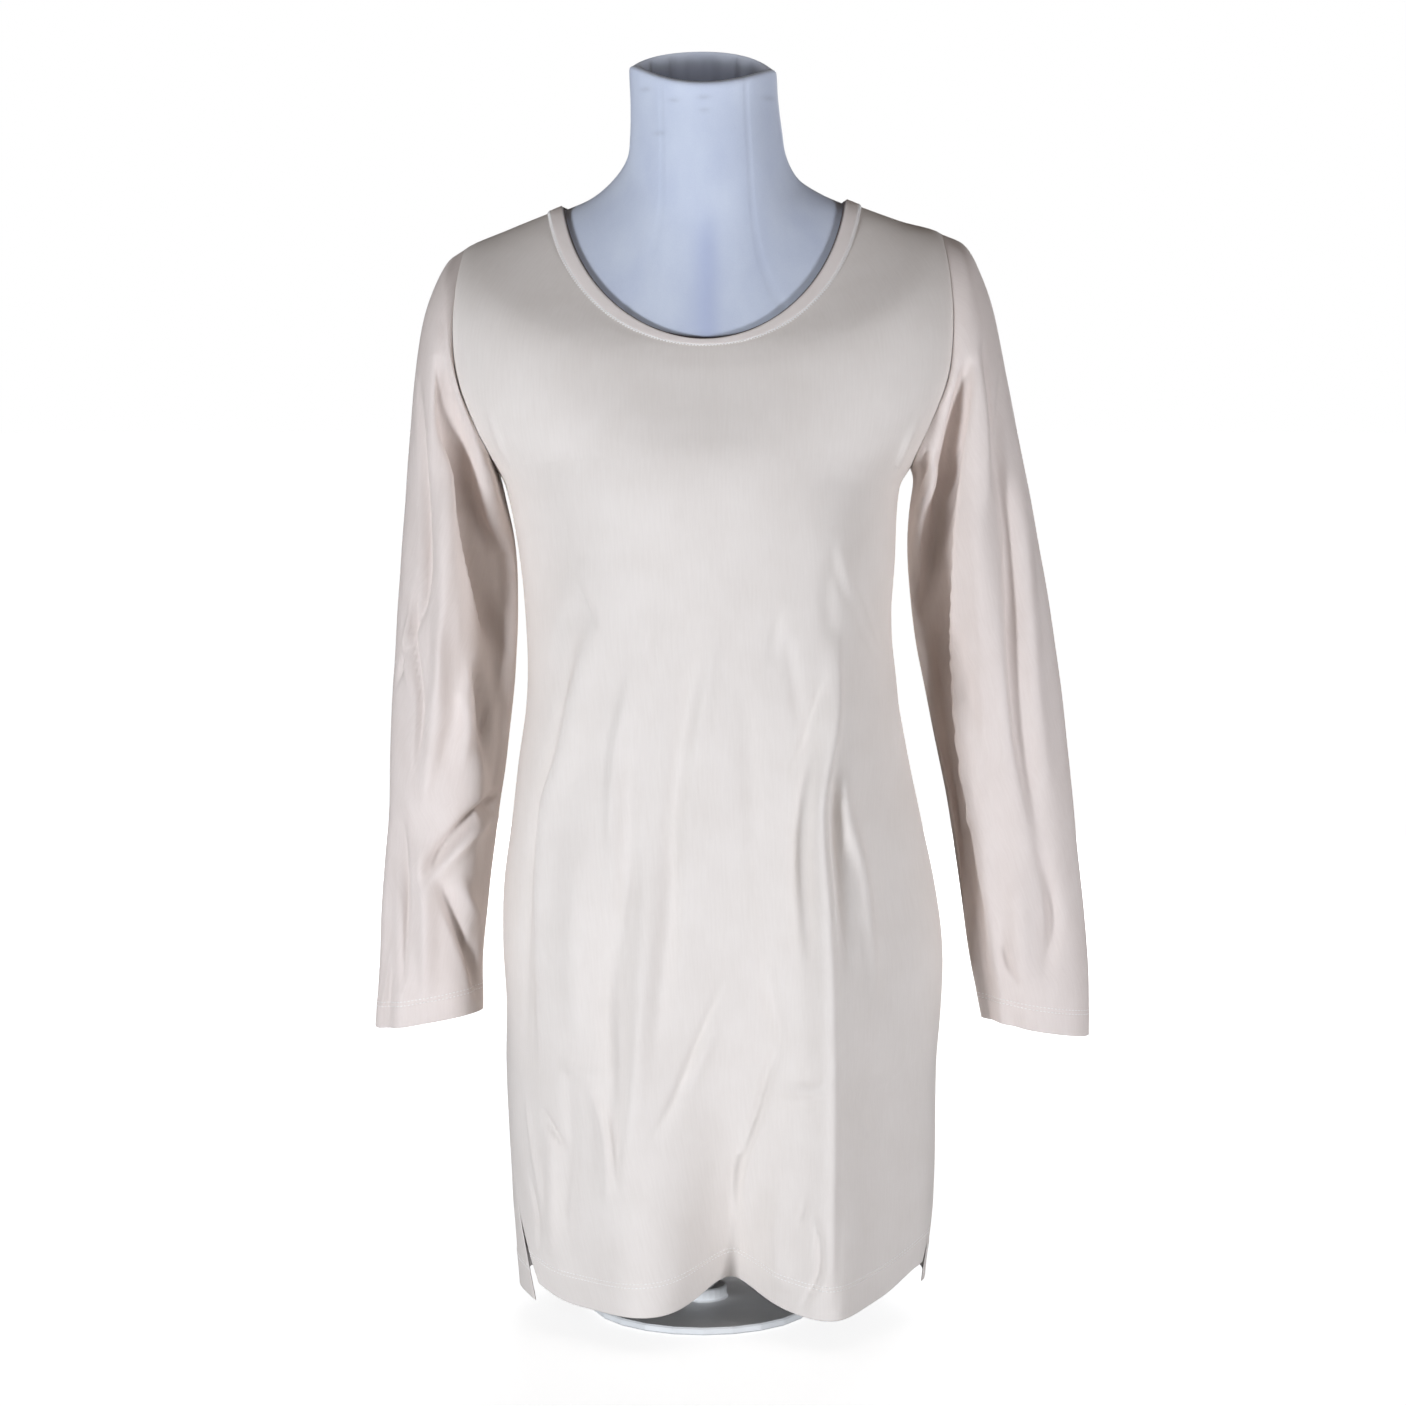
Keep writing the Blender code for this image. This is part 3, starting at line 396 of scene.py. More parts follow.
def read_rows(knots, values, wanted):
    """Values on a smooth curve through the rows: cubic pieces whose slope at a row is that
    of the line between its neighbours."""
    slope = np.empty_like(values)
    lead = (slice(None),) + (None,) * (values.ndim - 1)
    slope[1:-1] = (values[2:] - values[:-2]) / (knots[2:] - knots[:-2])[lead]
    slope[0] = (values[1] - values[0]) / (knots[1] - knots[0])
    slope[-1] = (values[-1] - values[-2]) / (knots[-1] - knots[-2])
    i = np.clip(np.searchsorted(knots, wanted, side="right") - 1, 0, len(knots) - 2)
    span = knots[i + 1] - knots[i]
    t = np.clip((wanted - knots[i]) / span, -0.2, 1.2)
    extra = (None,) * (values.ndim - 1)
    t, span = t[(...,) + extra], span[(...,) + extra]
    rise = values[i + 1] - values[i]
    bend = span * slope[i] * t * (1 - t) ** 2 - span * slope[i + 1] * t**2 * (1 - t)
    return values[i] + rise * (3 * t**2 - 2 * t**3) + bend


def read_evenly(values, wanted):
    """Values on the smooth curve through rows that are counted 0, 1, 2 and so on."""
    return read_rows(np.arange(len(values), dtype=float), values, wanted)


def level_ring(z, middle, half_width, front, back, square):
    """A ring that runs at one height, as a row of the ring tables."""
    return (z, middle, half_width, front, back, z, z, z, z, square, 1.0)


def in_metres(rows, lengths):
    """The rows as an array, with their first columns turned from millimetres to metres."""
    table = np.array(rows, float)
    table[:, :lengths] /= 1000
    return table


FORM_RINGS = in_metres([level_ring(z, 0, *rest) for z, *rest in FORM_LOWER] + [*YOKE, *NECK], 9)
TUNIC_RINGS = in_metres([level_ring(*row) for row in TUNIC_LOWER] + [*YOKE, NECK[0]], 9)
TUNIC_RINGS[: len(TUNIC_LOWER), 2:5] -= STANDOFF  # these rows give the tunic's outside


def smooth_step(value, low, high):
    """0 below low, 1 above high, and a smooth rise between."""
    t = np.clip((value - low) / (high - low), 0, 1)
    return t * t * (3 - 2 * t)


def unit(vectors):
    """The same directions with length one."""
    return vectors / np.maximum(np.linalg.norm(vectors, axis=-1, keepdims=True), 1e-12)


def torso(rings, turn, level):
    """Points on the body's rings. The angle turn is 0 at the +X side, a quarter turn at the
    back and three quarters at the front. With c and s its cosine and sine and n the
    squareness, the ring's radius is (|c|^n + |s|^n)^(-1/n) of its half width and depth, and
    its height goes from the side's to the front's or back's as |s| does, rounded at the side."""
    ring = Ring._make(np.moveaxis(read_rows(rings[:, 0], rings, level), -1, 0))
    c, s = np.cos(turn), np.sin(turn)
    radius = (np.abs(c) ** ring.square + np.abs(s) ** ring.square) ** (-1 / ring.square)
    at_back = s > 0
    x = ring.middle + ring.half_width * radius * c
    y = np.where(at_back, ring.back, ring.front) * radius * s
    soft = ring.soft
    share = (np.sqrt(s**2 + soft**2) - soft) / (np.sqrt(1 + soft**2) - soft)
    side = ring.z_left + (ring.z_right - ring.z_left) * (1 + c) / 2
    z = side + (np.where(at_back, ring.z_back, ring.z_front) - side) * share
    return np.stack([x, y, z], -1)


def fold_depth(folds, hem_z, x, z):
    """How far the large folds move a panel's points out, each a smooth hump across its line."""
    total = np.zeros_like(x)
    for fold in map(Fold._make, in_metres(folds, 6)):
        down = np.clip((fold.z_top - z) / (fold.z_top - hem_z), 0.0, 1.05)
        off = x - (fold.x_top + (fold.x_hem - fold.x_top) * down)
        width = np.where(off < 0, fold.width_left, fold.width_right)
        total += fold.height * down**fold.power * np.exp(-((off / width) ** 2))
    return total


def hem_rise(rises, x):
    """How far a panel's hem stands above its lowest line, each a smooth hump along it."""
    rows = map(HemRise._make, in_metres(rises, 3))
    return sum(row.rise * np.exp(-(((x - row.x) / row.width) ** 2)) for row in rows)


def tunic(turn, level, face=-1):
    """The surface that the tunic's walls are measured from: the rings, then the large folds,
    and the rises of the hem of the front (face = -1) or back (face = +1) panel."""
    p = torso(TUNIC_RINGS, turn, level)
    s = np.sin(turn)
    front = fold_depth(FRONT_FOLDS, FRONT_HEM_Z, p[..., 0], p[..., 2])
    back = fold_depth(BACK_FOLDS, BACK_HEM_Z, p[..., 0], p[..., 2])
    fade = np.clip(np.abs(s) / FOLDS_FULL_FROM, 0, 1) ** 2
    p[..., 1] += fade * np.where(s > 0, back, -front)
    near_hem = np.clip(1 - (level - FRONT_HEM_Z) / HEM_TAKES_UP, 0, 1) ** HEM_EVENS_POWER
    rises = BACK_HEM_RISES if face > 0 else FRONT_HEM_RISES
    p[..., 2] += hem_rise(rises, p[..., 0]) * near_hem
    return p


def form(turn, level):
    """The dress form's surface."""
    return torso(FORM_RINGS, turn, level)


def tunic_normals(turn, level, face=-1):
    """The tunic's outward unit normals, from its points a small step away."""
    along = tunic(turn + STEP, level, face) - tunic(turn - STEP, level, face)
    up = tunic(turn, level + STEP, face) - tunic(turn, level - STEP, face)
    return unit(np.cross(along, up))


def lift(turn, level, height, face=-1):
    """The tunic's points, moved out along its normals."""
    return tunic(turn, level, face) + height * tunic_normals(turn, level, face)


def armhole_turn(level, side_depth):
    """The angle from the side at which a ring meets the armhole, a rounded oval from the
    armpit's level to the shoulder's, found by halving."""
    high = np.clip((level - ARMPIT_LEVEL) / (SHOULDER_LEVEL - ARMPIT_LEVEL), 0, 1)
    power = ARMHOLE_SQUARENESS
    oval = (1 - np.abs(2 * high - 1) ** power) ** (1 / power)
    wanted = ARMHOLE_HALF_DEPTH * oval
    low, top = np.zeros_like(level), np.full_like(level, np.pi / 2)
    for _ in range(HALVINGS):
        mid = (low + top) / 2
        short = side_depth(mid, level) < wanted
        low, top = np.where(short, mid, low), np.where(short, top, mid)
    return (low + top) / 2


def side_angle(level, side, face):
    """Where a panel ends on one side, as its angle from the side at side = +1 or -1, towards
    the face = +1 for the back or -1 for the front: the armhole, or else the side seam, which
    swings forward near the hem and opens into the slit."""

    def depth(angle, at):
        """How far in front of or behind the side the ring is at this angle."""
        turn = np.where(side > 0, face * angle, np.pi - face * angle)
        return np.abs(torso(TUNIC_RINGS, turn, at)[..., 1])

    hole = armhole_turn(level, depth)
    full_swing = SEAM_SWING_RIGHT if side > 0 else SEAM_SWING_LEFT
    swing = full_swing * np.clip(1 - level / SEAM_SWING_TOP_Z, 0, 1) ** SEAM_SWING_POWER
    hem = FRONT_HEM_Z if face < 0 else BACK_HEM_Z
    opening = SLIT_OPEN_RIGHT if side > 0 else SLIT_OPEN_LEFT
    apart = SEAM_GAP / 2 + opening * np.clip((SLIT_TOP_Z - level) / (SLIT_TOP_Z - hem), 0, 1)
    turn = np.where(side > 0, 0.0, np.pi) + 0 * level
    stretch = tunic(turn + STEP, level, face) - tunic(turn - STEP, level, face)
    reach = np.linalg.norm(stretch, axis=-1) / (2 * STEP)
    return hole + apart / reach - face * swing


def levels_below_neck(turn, below):
    """The levels that lie the given real distances below the neckline at each angle."""
    top = np.full_like(turn, NECK_LEVEL)
    per_level = np.linalg.norm(tunic(turn, top) - tunic(turn, top - STEP), axis=-1) / STEP
    return NECK_LEVEL - np.asarray(below)[:, None] / per_level


def panel_grid(face, hem_z):
    """The angles and levels of a panel's rows and columns, from hem to neckline and from side
    seam to side seam. Rows are close at the hem, even up to the bust, and spaced as round an
    oval up the armhole. Columns are close at both sides."""
    edge = np.array(SIDE_COLUMNS)
    even = np.linspace(edge[-1], 1 - edge[-1], PANEL_COLUMNS)
    across = np.concatenate([edge[:-1], even, 1 - edge[-2::-1]])
    half_turn = np.pi * across if face > 0 else np.pi * (1 + across)
    hem_top = hem_z + HEM_ROWS * HEM_ROW_STEP
    hem = np.linspace(hem_z, hem_top, HEM_ROWS + 1)
    lower = np.linspace(hem_top, BUST_LEVEL, PANEL_LOW_ROWS + 1)[1:]
    around = np.linspace(0, np.pi, ARMHOLE_ROWS + 1)
    hole = ARMPIT_LEVEL + (SHOULDER_LEVEL - ARMPIT_LEVEL) * (1 - np.cos(around)) / 2
    between = np.linspace(BUST_LEVEL, ARMPIT_LEVEL, BUST_ROWS + 1)[1:-1]
    fixed = np.concatenate([hem, lower, between, hole])[:, None] + 0 * half_turn
    share = np.linspace(0, 1, YOKE_ROWS + 1)[1:, None]
    yoke = SHOULDER_LEVEL + (NECK_LEVEL - SHOULDER_LEVEL) * share + 0 * half_turn
    level = np.concatenate([fixed, yoke])
    first = side_angle(level, +1 if face > 0 else -1, face)
    last = side_angle(level, -1 if face > 0 else +1, face)
    start = 0.0 if face > 0 else np.pi
    return start + first + (np.pi - last - first) * across, level


def grid_normals(surface, closed, outward):
    """Unit normals of a grid from its neighbours along rows and columns; outward is +1 or -1."""
    if closed:
        along = np.roll(surface, -1, axis=1) - np.roll(surface, 1, axis=1)
    else:
        along = np.gradient(surface, axis=1)
    return unit(np.cross(along, np.gradient(surface, axis=0)) * outward)


def armhole_loop(side, columns):
    """The panels' outer edge round an armhole, moved away from the body by the seam's gap. It
    starts on the shoulder and goes down the front and up the back."""
    around = np.arange(columns) * 2 * np.pi / columns
    level = ARMPIT_LEVEL + (SHOULDER_LEVEL - ARMPIT_LEVEL) * (1 + np.cos(around)) / 2
    at_front = np.sin(around) > 1e-9
    angle = np.where(at_front, side_angle(level, side, -1), side_angle(level, side, +1))
    angle = np.where(np.abs(np.sin(around)) < 1e-9, 0.0, angle)
    face = np.where(at_front, -1.0, 1.0)
    turn = face * angle if side > 0 else np.pi - face * angle
    loop = lift(turn, level, STANDOFF)
    loop[:, 0] += side * SEAM_GAP * (1 + UNDERARM_EXTRA_GAP * (1 - np.cos(around)) / 2)
    return around, loop


# Each empty sleeve hangs with a soft crest down its front, and falls in from there towards the
# body. At each of these rings: the crest's place across the sleeve, from -1 at the inner side to
# +1 at the outer one, and how far the cloth falls in, as a share of the way to the middle
CREST_RINGS = (0, 3, 4, 5.5, 7, 11)
CREST_LEFT = (0.50, 0.50, 0.18, -0.13, -0.65, -0.75)
CREST_RIGHT = (0.30, 0.25, 0.06, -0.12, -0.47, -0.66)
FALL_LEFT = (0.0, 0.75, 0.80, 0.75, 0.50, 0.0)
FALL_RIGHT = (0.0, 0.75, 0.88, 0.90, 0.90, 0.80)
FALL_WIDTH = 0.55  # the share of the way to the inner side that the fall takes


def sleeve_surface(side, table, folds, rings_wanted):
    """The sleeve's outer points: ovals between each ring's outer and inner point, bowed away
    from the body, joined smoothly to the armhole, then the large folds along the normals."""
    around, loop = armhole_loop(side, SLEEVE_COLUMNS)
    c, s = np.cos(around), np.sin(around)
    crests, falls = (CREST_RIGHT, FALL_RIGHT) if side > 0 else (CREST_LEFT, FALL_LEFT)
    rings = [loop]
    for count, row in enumerate(map(SleeveRing._make, in_metres(table, 7))):
        x = (row.outer_x + row.inner_x + (row.outer_x - row.inner_x) * c) / 2
        crest = np.interp(count, CREST_RINGS, crests)
        inward = (crest - c) / (1 + crest)
        fall = np.interp(count, CREST_RINGS, falls) * smooth_step(inward, 0.0, FALL_WIDTH)
        y = row.y_middle - row.half_depth * np.where(s > 0, s * (1 - fall), s)
        z = (row.outer_z + row.inner_z + (row.outer_z - row.inner_z) * c) / 2
        rings.append(np.stack([x + side * row.bow * s**2, y, z], -1))
    surface = read_evenly(np.array(rings), rings_wanted)
    n = grid_normals(surface, True, side)
    for fold in map(SleeveFold._make, in_metres(folds, 1)):
        length = fold.ring_end - fold.ring_top
        down = np.clip((rings_wanted - fold.ring_top) / length, 0, 1)[:, None]
        line = np.radians(fold.turn_top + (fold.turn_end - fold.turn_top) * down)
        off = np.angle(np.exp(1j * (around[None, :] - line)))
        ends_at_cuff = fold.ring_end >= len(table)
        grown = np.sin(np.pi * down / 2) if ends_at_cuff else np.sin(np.pi * down)
        hump = fold.height * grown * np.exp(-((off / np.radians(fold.width)) ** 2))
        surface = surface + hump[..., None] * n
    return surface


# How finely a crease's line is followed, and how far from it its hump is still worked out
CREASE_STEPS = 22
CREASE_REACH = 3.0  # in widths
LAID_ON = 0.004  # over this distance the surface's depth is averaged, to lay a line on it
FACES_VIEW = 0.05  # a point takes the creases of the side that its normal faces by this much
FADE_POWER = 0.7  # of the half sine along a line
PANEL_CREASES = 1.75  # the panels' creases stand this many times higher than in the tables
SLEEVE_CREASES = 2.0  # and the sleeves' this many


def crease_heights(surface, normals, creases, facing, scale):
    """How far the creases move each point along its normal. A crease's line is laid on the
    surface, a point's distance to it is measured in space, and the hump falls off as
    e^-(distance/width)^2 across the line and as a half sine along it."""
    points, n = surface.reshape(-1, 3), normals.reshape(-1, 3)
    seen = n[:, 1] * facing > FACES_VIEW
    total = np.zeros(len(points))
    for row in creases:
        crease = Crease(*(np.array(value, float) / 1000 for value in row))
        stops = crease.places.reshape(-1, 2)
        flat = read_evenly(stops, np.linspace(0, len(stops) - 1, CREASE_STEPS + 1))
        reach = CREASE_REACH * max(crease.left, crease.right) + LAID_ON
        low, high = flat.min(axis=0) - reach, flat.max(axis=0) + reach
        x, z = points[:, 0], points[:, 2]
        near = seen & (x > low[0]) & (x < high[0]) & (z > low[1]) & (z < high[1])
        index = np.flatnonzero(near)
        p = points[index]
        apart = (p[None, :, 0] - flat[:, None, 0]) ** 2 + (p[None, :, 2] - flat[:, None, 1]) ** 2
        weight = np.exp(-apart / LAID_ON**2) + 1e-12
        y = (weight * p[None, :, 1]).sum(axis=1) / weight.sum(axis=1)
        line = np.stack([flat[:, 0], y, flat[:, 1]], -1)
        start, run = line[:-1], np.diff(line, axis=0)
        away = p[:, None, :] - start[None]
        share = np.clip((away * run).sum(-1) / (run**2).sum(-1), 0, 1)
        gap = away - share[..., None] * run[None]
        distance = np.linalg.norm(gap, axis=-1)
        best = distance.argmin(axis=1)
        rows = np.arange(len(p))
        along = (best + share[rows, best]) / CREASE_STEPS
        right = np.cross(n[index], run[best])
        on_right = (gap[rows, best] * right).sum(-1) > 0
        width = np.where(on_right, crease.right, crease.left)
        hump = np.exp(-((distance[rows, best] / width) ** 2))
        total[index] += scale * crease.height * hump * np.sin(np.pi * along) ** FADE_POWER
    return total.reshape(surface.shape[:2])


def lengths_along(surface, axis):
    """The distance from the grid's start to each point, measured along its rows or columns."""
    steps = np.linalg.norm(np.diff(surface, axis=axis), axis=-1)
    first = np.zeros_like(steps[:1]) if axis == 0 else np.zeros_like(steps[:, :1])
    return np.cumsum(np.concatenate([first, steps], axis=axis), axis=axis)


ROUND_EDGE = 0.3  # how far a shell's edge bulges, as a share of its thickness


def wrap(grid):
    """The grid with its first column again after its last, which closes a tube."""
    return np.concatenate([grid, grid[:, :1]], axis=1)


def grid_quads(a):
    """The quads of a grid of numbers, as an array of four numbers each."""
    return np.stack([a[:-1, :-1], a[:-1, 1:], a[1:, 1:], a[1:, :-1]], -1).reshape(-1, 4)


def edge_loops(a, closed):
    """The numbers round a grid's edges, each loop ending where it starts: both end rows of a
    tube that is already wrapped round, or all four sides of a sheet."""
    if closed:
        return [a[0], a[-1][::-1]]
    return [np.concatenate([a[0], a[1:, -1], a[-1, -2::-1], a[-2::-1, 0]])]


def mesh_object(name, points, quads, uv=None, triangles=None):
    """A smooth mesh object from arrays of points, quads and triangles, with UVs per corner."""
    mesh = bpy.data.meshes.new(name)
    triangles = np.zeros((0, 3), int) if triangles is None else np.asarray(triangles)
    corners = np.concatenate([np.asarray(quads).ravel(), triangles.ravel()]).astype(np.int32)
    sizes = np.concatenate([np.full(len(quads), 4), np.full(len(triangles), 3)])
    mesh.vertices.add(len(points))
    mesh.vertices.foreach_set("co", np.asarray(points, np.float32).ravel())
    mesh.loops.add(len(corners))
    mesh.loops.foreach_set("vertex_index", corners)
    mesh.polygons.add(len(sizes))
    mesh.polygons.foreach_set("loop_start", (np.cumsum(sizes) - sizes).astype(np.int32))
    mesh.update(calc_edges=True)
    mesh.validate()
    mesh.shade_smooth()
    if uv is not None:
        layer = mesh.uv_layers.new(name="cloth")
        layer.data.foreach_set("uv", np.asarray(uv, np.float32).ravel())
    made = bpy.data.objects.new(name, mesh)
    bpy.context.scene.collection.objects.link(made)
    return made


def cloth_shell(name, outer, normals, thickness, closed, flip):
    """A thin shell: the outer grid, the same grid moved in along its normals by the thickness
    at each point, and a rounded edge between the two. Its UVs are real distances over the
    cloth in metres. Flip turns the faces round where the grid runs the other way."""
    rows, columns = outer.shape[:2]
    size = rows * columns
    inner = outer - normals * thickness[..., None]
    at = np.arange(size).reshape(rows, columns)
    wrapped = outer
    if closed:
        at = wrap(at)
        wrapped = wrap(outer)
    u = lengths_along(wrapped, 1)
    u = u - u[:, u.shape[1] // 2][:, None]
    uv = np.stack([u, lengths_along(wrapped, 0)], -1).reshape(-1, 2)
    corner = np.arange(len(uv)).reshape(at.shape)
    quads, corners = grid_quads(at), grid_quads(corner)
    flat = np.concatenate([outer.reshape(-1, 3), inner.reshape(-1, 3)])
    points, faces = [flat], [quads, quads[:, ::-1] + size]
    face_uv = [uv[corners], uv[corners[:, ::-1]]]
    beside_rows = np.clip(np.arange(rows), 1, rows - 2)
    beside_columns = np.arange(at.shape[1])
    if not closed:
        beside_columns = np.clip(beside_columns, 1, columns - 2)
    beside = at[beside_rows][:, beside_columns]
    used = 2 * size
    loops = zip(*(edge_loops(a, closed) for a in (at, beside, corner)))
    for edge, within, edge_corner in loops:
        out = unit(flat[edge] - flat[within])
        depth = np.linalg.norm(flat[edge] - flat[edge + size], axis=-1, keepdims=True)
        middle = (flat[edge] + flat[edge + size]) / 2 + out * depth * ROUND_EDGE
        points.append(middle[:-1])
        ids = used + np.arange(len(edge))
        ids[-1] = used
        used += len(edge) - 1
        first, last = uv[edge_corner[:-1]], uv[edge_corner[1:]]
        for a, b in ((edge, ids), (ids, edge + size)):
            faces.append(np.stack([a[:-1], b[:-1], b[1:], a[1:]], -1))
            face_uv.append(np.stack([first, first, last, last], 1))
    faces, face_uv = np.concatenate(faces), np.concatenate(face_uv)
    if flip:
        faces, face_uv = faces[:, ::-1], face_uv[:, ::-1]
    return mesh_object(name, np.concatenate(points), faces, face_uv)


# The finish of each piece


def new_material(name, **uniform):
    """A node material; the uniform values go on the shader's own sockets."""
    material = bpy.data.materials.new(name)
    material.use_nodes = True
    shader = material.node_tree.nodes["Principled BSDF"]
    for socket, value in uniform.items():
        shader.inputs[socket.replace("_", " ")].default_value = value
    return material, material.node_tree, shader


def node(tree, kind, links=None, **settings):
    """A node with its settings, its inputs linked from sockets or set to values."""
    made = tree.nodes.new(kind)
    for setting, value in settings.items():
        setattr(made, setting, value)
    for key, value in (links or {}).items():
        if isinstance(value, bpy.types.NodeSocket):
            tree.links.new(value, made.inputs[key])
        else:
            made.inputs[key].default_value = value
    return made


def bands(tree, where, pitch, direction, distortion=0.0, detail=0.0):
    """A wave of soft bands with the given pitch in the coordinate's own units."""
    scale = 2 * np.pi / (20 * pitch)
    wave = node(tree, "ShaderNodeTexWave", {"Vector": where, "Scale": scale,
                "Distortion": distortion, "Detail": detail}, bands_direction=direction)
    return wave.outputs["Fac"]


def noise(tree, where, size, detail=2.0, stretch=(1.0, 1.0, 1.0)):
    """Soft mottling whose patches are about the given size in the coordinate's units."""
    mapped = node(tree, "ShaderNodeMapping", {"Vector": where, "Scale": stretch})
    made = node(tree, "ShaderNodeTexNoise",
                {"Vector": mapped.outputs["Vector"], "Scale": 1 / size, "Detail": detail})
    return made.outputs["Fac"]


def ramp(tree, factor, stops):
    """Colours at places from 0 to 1 along a factor."""
    made = node(tree, "ShaderNodeValToRGB", {"Fac": factor})
    elements = made.color_ramp.elements
    while len(elements) < len(stops):
        elements.new(0.5)
    for element, (place, colour) in zip(elements, stops):
        element.position = place
        element.color = (*colour, 1.0)
    return made.outputs["Color"]


def mixed(tree, factor, a, b, blend="MIX"):
    """Two colours mixed by a factor."""
    made = node(tree, "ShaderNodeMix", data_type="RGBA", blend_type=blend)
    for place, value in ((0, factor), (6, a), (7, b)):
        if isinstance(value, bpy.types.NodeSocket):
            tree.links.new(value, made.inputs[place])
        else:
            made.inputs[place].default_value = value if place == 0 else (*value, 1.0)
    return made.outputs[2]


def weighted_sum(tree, terms):
    """The sum of (socket, weight) terms, as nodes."""
    total = 0.0
    for socket, weight in terms:
        made = node(tree, "ShaderNodeMath", {0: socket, 1: weight, 2: total}, operation="MULTIPLY_ADD")
        total = made.outputs[0]
    return total


def own_place(tree):
    """The point on the piece, in its Object coordinates."""
    return node(tree, "ShaderNodeTexCoord").outputs["Object"]


def own_number(tree, name):
    """The piece's own number of that name at the point."""
    return node(tree, "ShaderNodeAttribute", attribute_name=name).outputs["Fac"]


def add_colour(tree, shader, colour):
    """The shader's base colour."""
    tree.links.new(colour, shader.inputs["Base Color"])


def add_roughness(tree, shader, factor, low, high):
    """Roughness from low to high along a factor of 0 to 1."""
    rough = node(tree, "ShaderNodeMapRange", {0: factor, 3: low, 4: high})
    tree.links.new(rough.outputs[0], shader.inputs["Roughness"])


def add_bump(tree, shader, height, distance, strength):
    """A bump on the shader from a height of 0 to 1 and its real depth."""
    made = node(tree, "ShaderNodeBump", {"Height": height, "Distance": distance, "Strength": strength})
    tree.links.new(made.outputs["Normal"], shader.inputs["Normal"])


WALE_PITCH = 0.0008  # the jersey's columns of loops
COURSE_PITCH = 0.0006  # and its rows
JERSEY_LIGHT = (0.808, 0.745, 0.692)
JERSEY_DARK = (0.752, 0.686, 0.630)
BAND_LIGHT = (0.960, 0.875, 0.825)
BAND_DARK = (0.915, 0.822, 0.768)
# the sleeves' jersey: the same cream, a little darker and pinker
SLEEVE_JERSEY_LIGHT = (0.775, 0.688, 0.640)
SLEEVE_JERSEY_DARK = (0.710, 0.618, 0.568)
# painted shadow along the neck band's inner edge and underside
PAINTED_EDGE_SHADOW = (0.085, 0.062, 0.060)


def jersey_material(name, light=JERSEY_LIGHT, dark=JERSEY_DARK):
    """Fine cream jersey: columns and rows of loops, soft slubs along the columns, slow changes
    of tone, and a short nap. Reads the piece's own UVs, in metres along the cloth."""
    material, tree, shader = new_material(
        name, Roughness=0.82, Specular_IOR_Level=0.25, Sheen_Weight=0.22, Sheen_Roughness=0.45,
        Sheen_Tint=(1.0, 0.96, 0.92, 1.0)
    )
    cloth = node(tree, "ShaderNodeUVMap", uv_map="cloth").outputs["UV"]
    wales = bands(tree, cloth, WALE_PITCH, "X", 0.6, 1.0)
    courses = bands(tree, cloth, COURSE_PITCH, "Y", 1.2, 1.0)
    slubs = noise(tree, cloth, 0.0016, 3.0, (1.0, 0.07, 1.0))
    fibres = noise(tree, cloth, 0.0007, 2.0)
    tone = noise(tree, cloth, 0.045, 2.0)
    shade = weighted_sum(tree, ((tone, 0.55), (slubs, 0.45), (wales, 0.07), (courses, 0.05)))
    colour = ramp(tree, shade, ((0.30, dark), (0.72, light)))
    # painted shadow: the band's underside and inner edge turn dark where its attribute says so
    add_colour(tree, shader, mixed(tree, own_number(tree, "band_painted_shadow"), colour, PAINTED_EDGE_SHADOW))
    height = weighted_sum(tree, ((wales, 0.5), (courses, 0.25), (fibres, 0.35), (slubs, 0.5)))
    add_bump(tree, shader, height, 0.00012, 0.55)
    return material


COVER_LIGHT = (0.700, 0.755, 0.870)
COVER_DARK = (0.610, 0.665, 0.805)
# painted shade beside the form's front seam ridge
SEAM_PAINTED_SHADE = (0.500, 0.560, 0.760)
MARK_SHADE = (0.30, 0.32, 0.38)
# painted shade deep in the form's neck hollow
HOLLOW_PAINTED_SHADE = (0.15, 0.16, 0.20)


def cover_material(name):
    """The form's smooth pale cover: a fine weave, slow mottling, bluish painted shade by the front
    seam's ridge, a few faint marks by the rim and painted shade inside the neck. Reads Object
    coordinates."""
    material, tree, shader = new_material(
        name, Roughness=0.78, Specular_IOR_Level=0.25, Sheen_Weight=0.15, Sheen_Roughness=0.5
    )
    place = own_place(tree)
    mottling = noise(tree, place, 0.030, 3.0, (1.0, 1.0, 0.5))
    fibres = noise(tree, place, 0.0009, 2.0)
    shade = weighted_sum(tree, ((mottling, 0.75), (fibres, 0.25)))
    colour = ramp(tree, shade, ((0.32, COVER_DARK), (0.66, COVER_LIGHT)))
    # painted shade: bluish by the front seam's ridge and dark down the neck hollow; the marks are the
    # cover's own
    tints = (("front_seam_painted_shade", SEAM_PAINTED_SHADE), ("marks", MARK_SHADE), ("hollow_painted_shade", HOLLOW_PAINTED_SHADE))
    for number, tint in tints:
        colour = mixed(tree, own_number(tree, number), colour, tint)
    add_colour(tree, shader, colour)
    weave = weighted_sum(tree, ((bands(tree, place, 0.0007, "X", 0.8), 0.5),
                                (bands(tree, place, 0.0006, "Z", 0.8), 0.5), (fibres, 0.6)))
    add_bump(tree, shader, weave, 0.00008, 0.5)
    return material


def thread_material(name, light, dark):
    """Twisted sewing thread, lighter and darker along its turns."""
    material, tree, shader = new_material(name, Roughness=0.55, Sheen_Weight=0.3)
    place = own_place(tree)
    mottling = noise(tree, place, 0.0008, 2.0)
    add_colour(tree, shader, ramp(tree, mottling, ((0.3, dark), (0.7, light))))
    add_bump(tree, shader, mottling, 0.00005, 0.6)
    return material


def steel_material(name):
    """Brushed steel: fine marks round the axis in its roughness and bump."""
    material, tree, shader = new_material(name, Metallic=1.0)
    place = own_place(tree)
    marks = noise(tree, place, 0.004, 4.0, (1.0, 1.0, 60.0))
    wear = noise(tree, place, 0.02, 3.0)
    tones = ((0.3, (0.52, 0.52, 0.53)), (0.7, (0.64, 0.64, 0.65)))
    add_colour(tree, shader, ramp(tree, wear, tones))
    add_roughness(tree, shader, marks, 0.26, 0.46)
    add_bump(tree, shader, marks, 0.00004, 0.4)
    return material


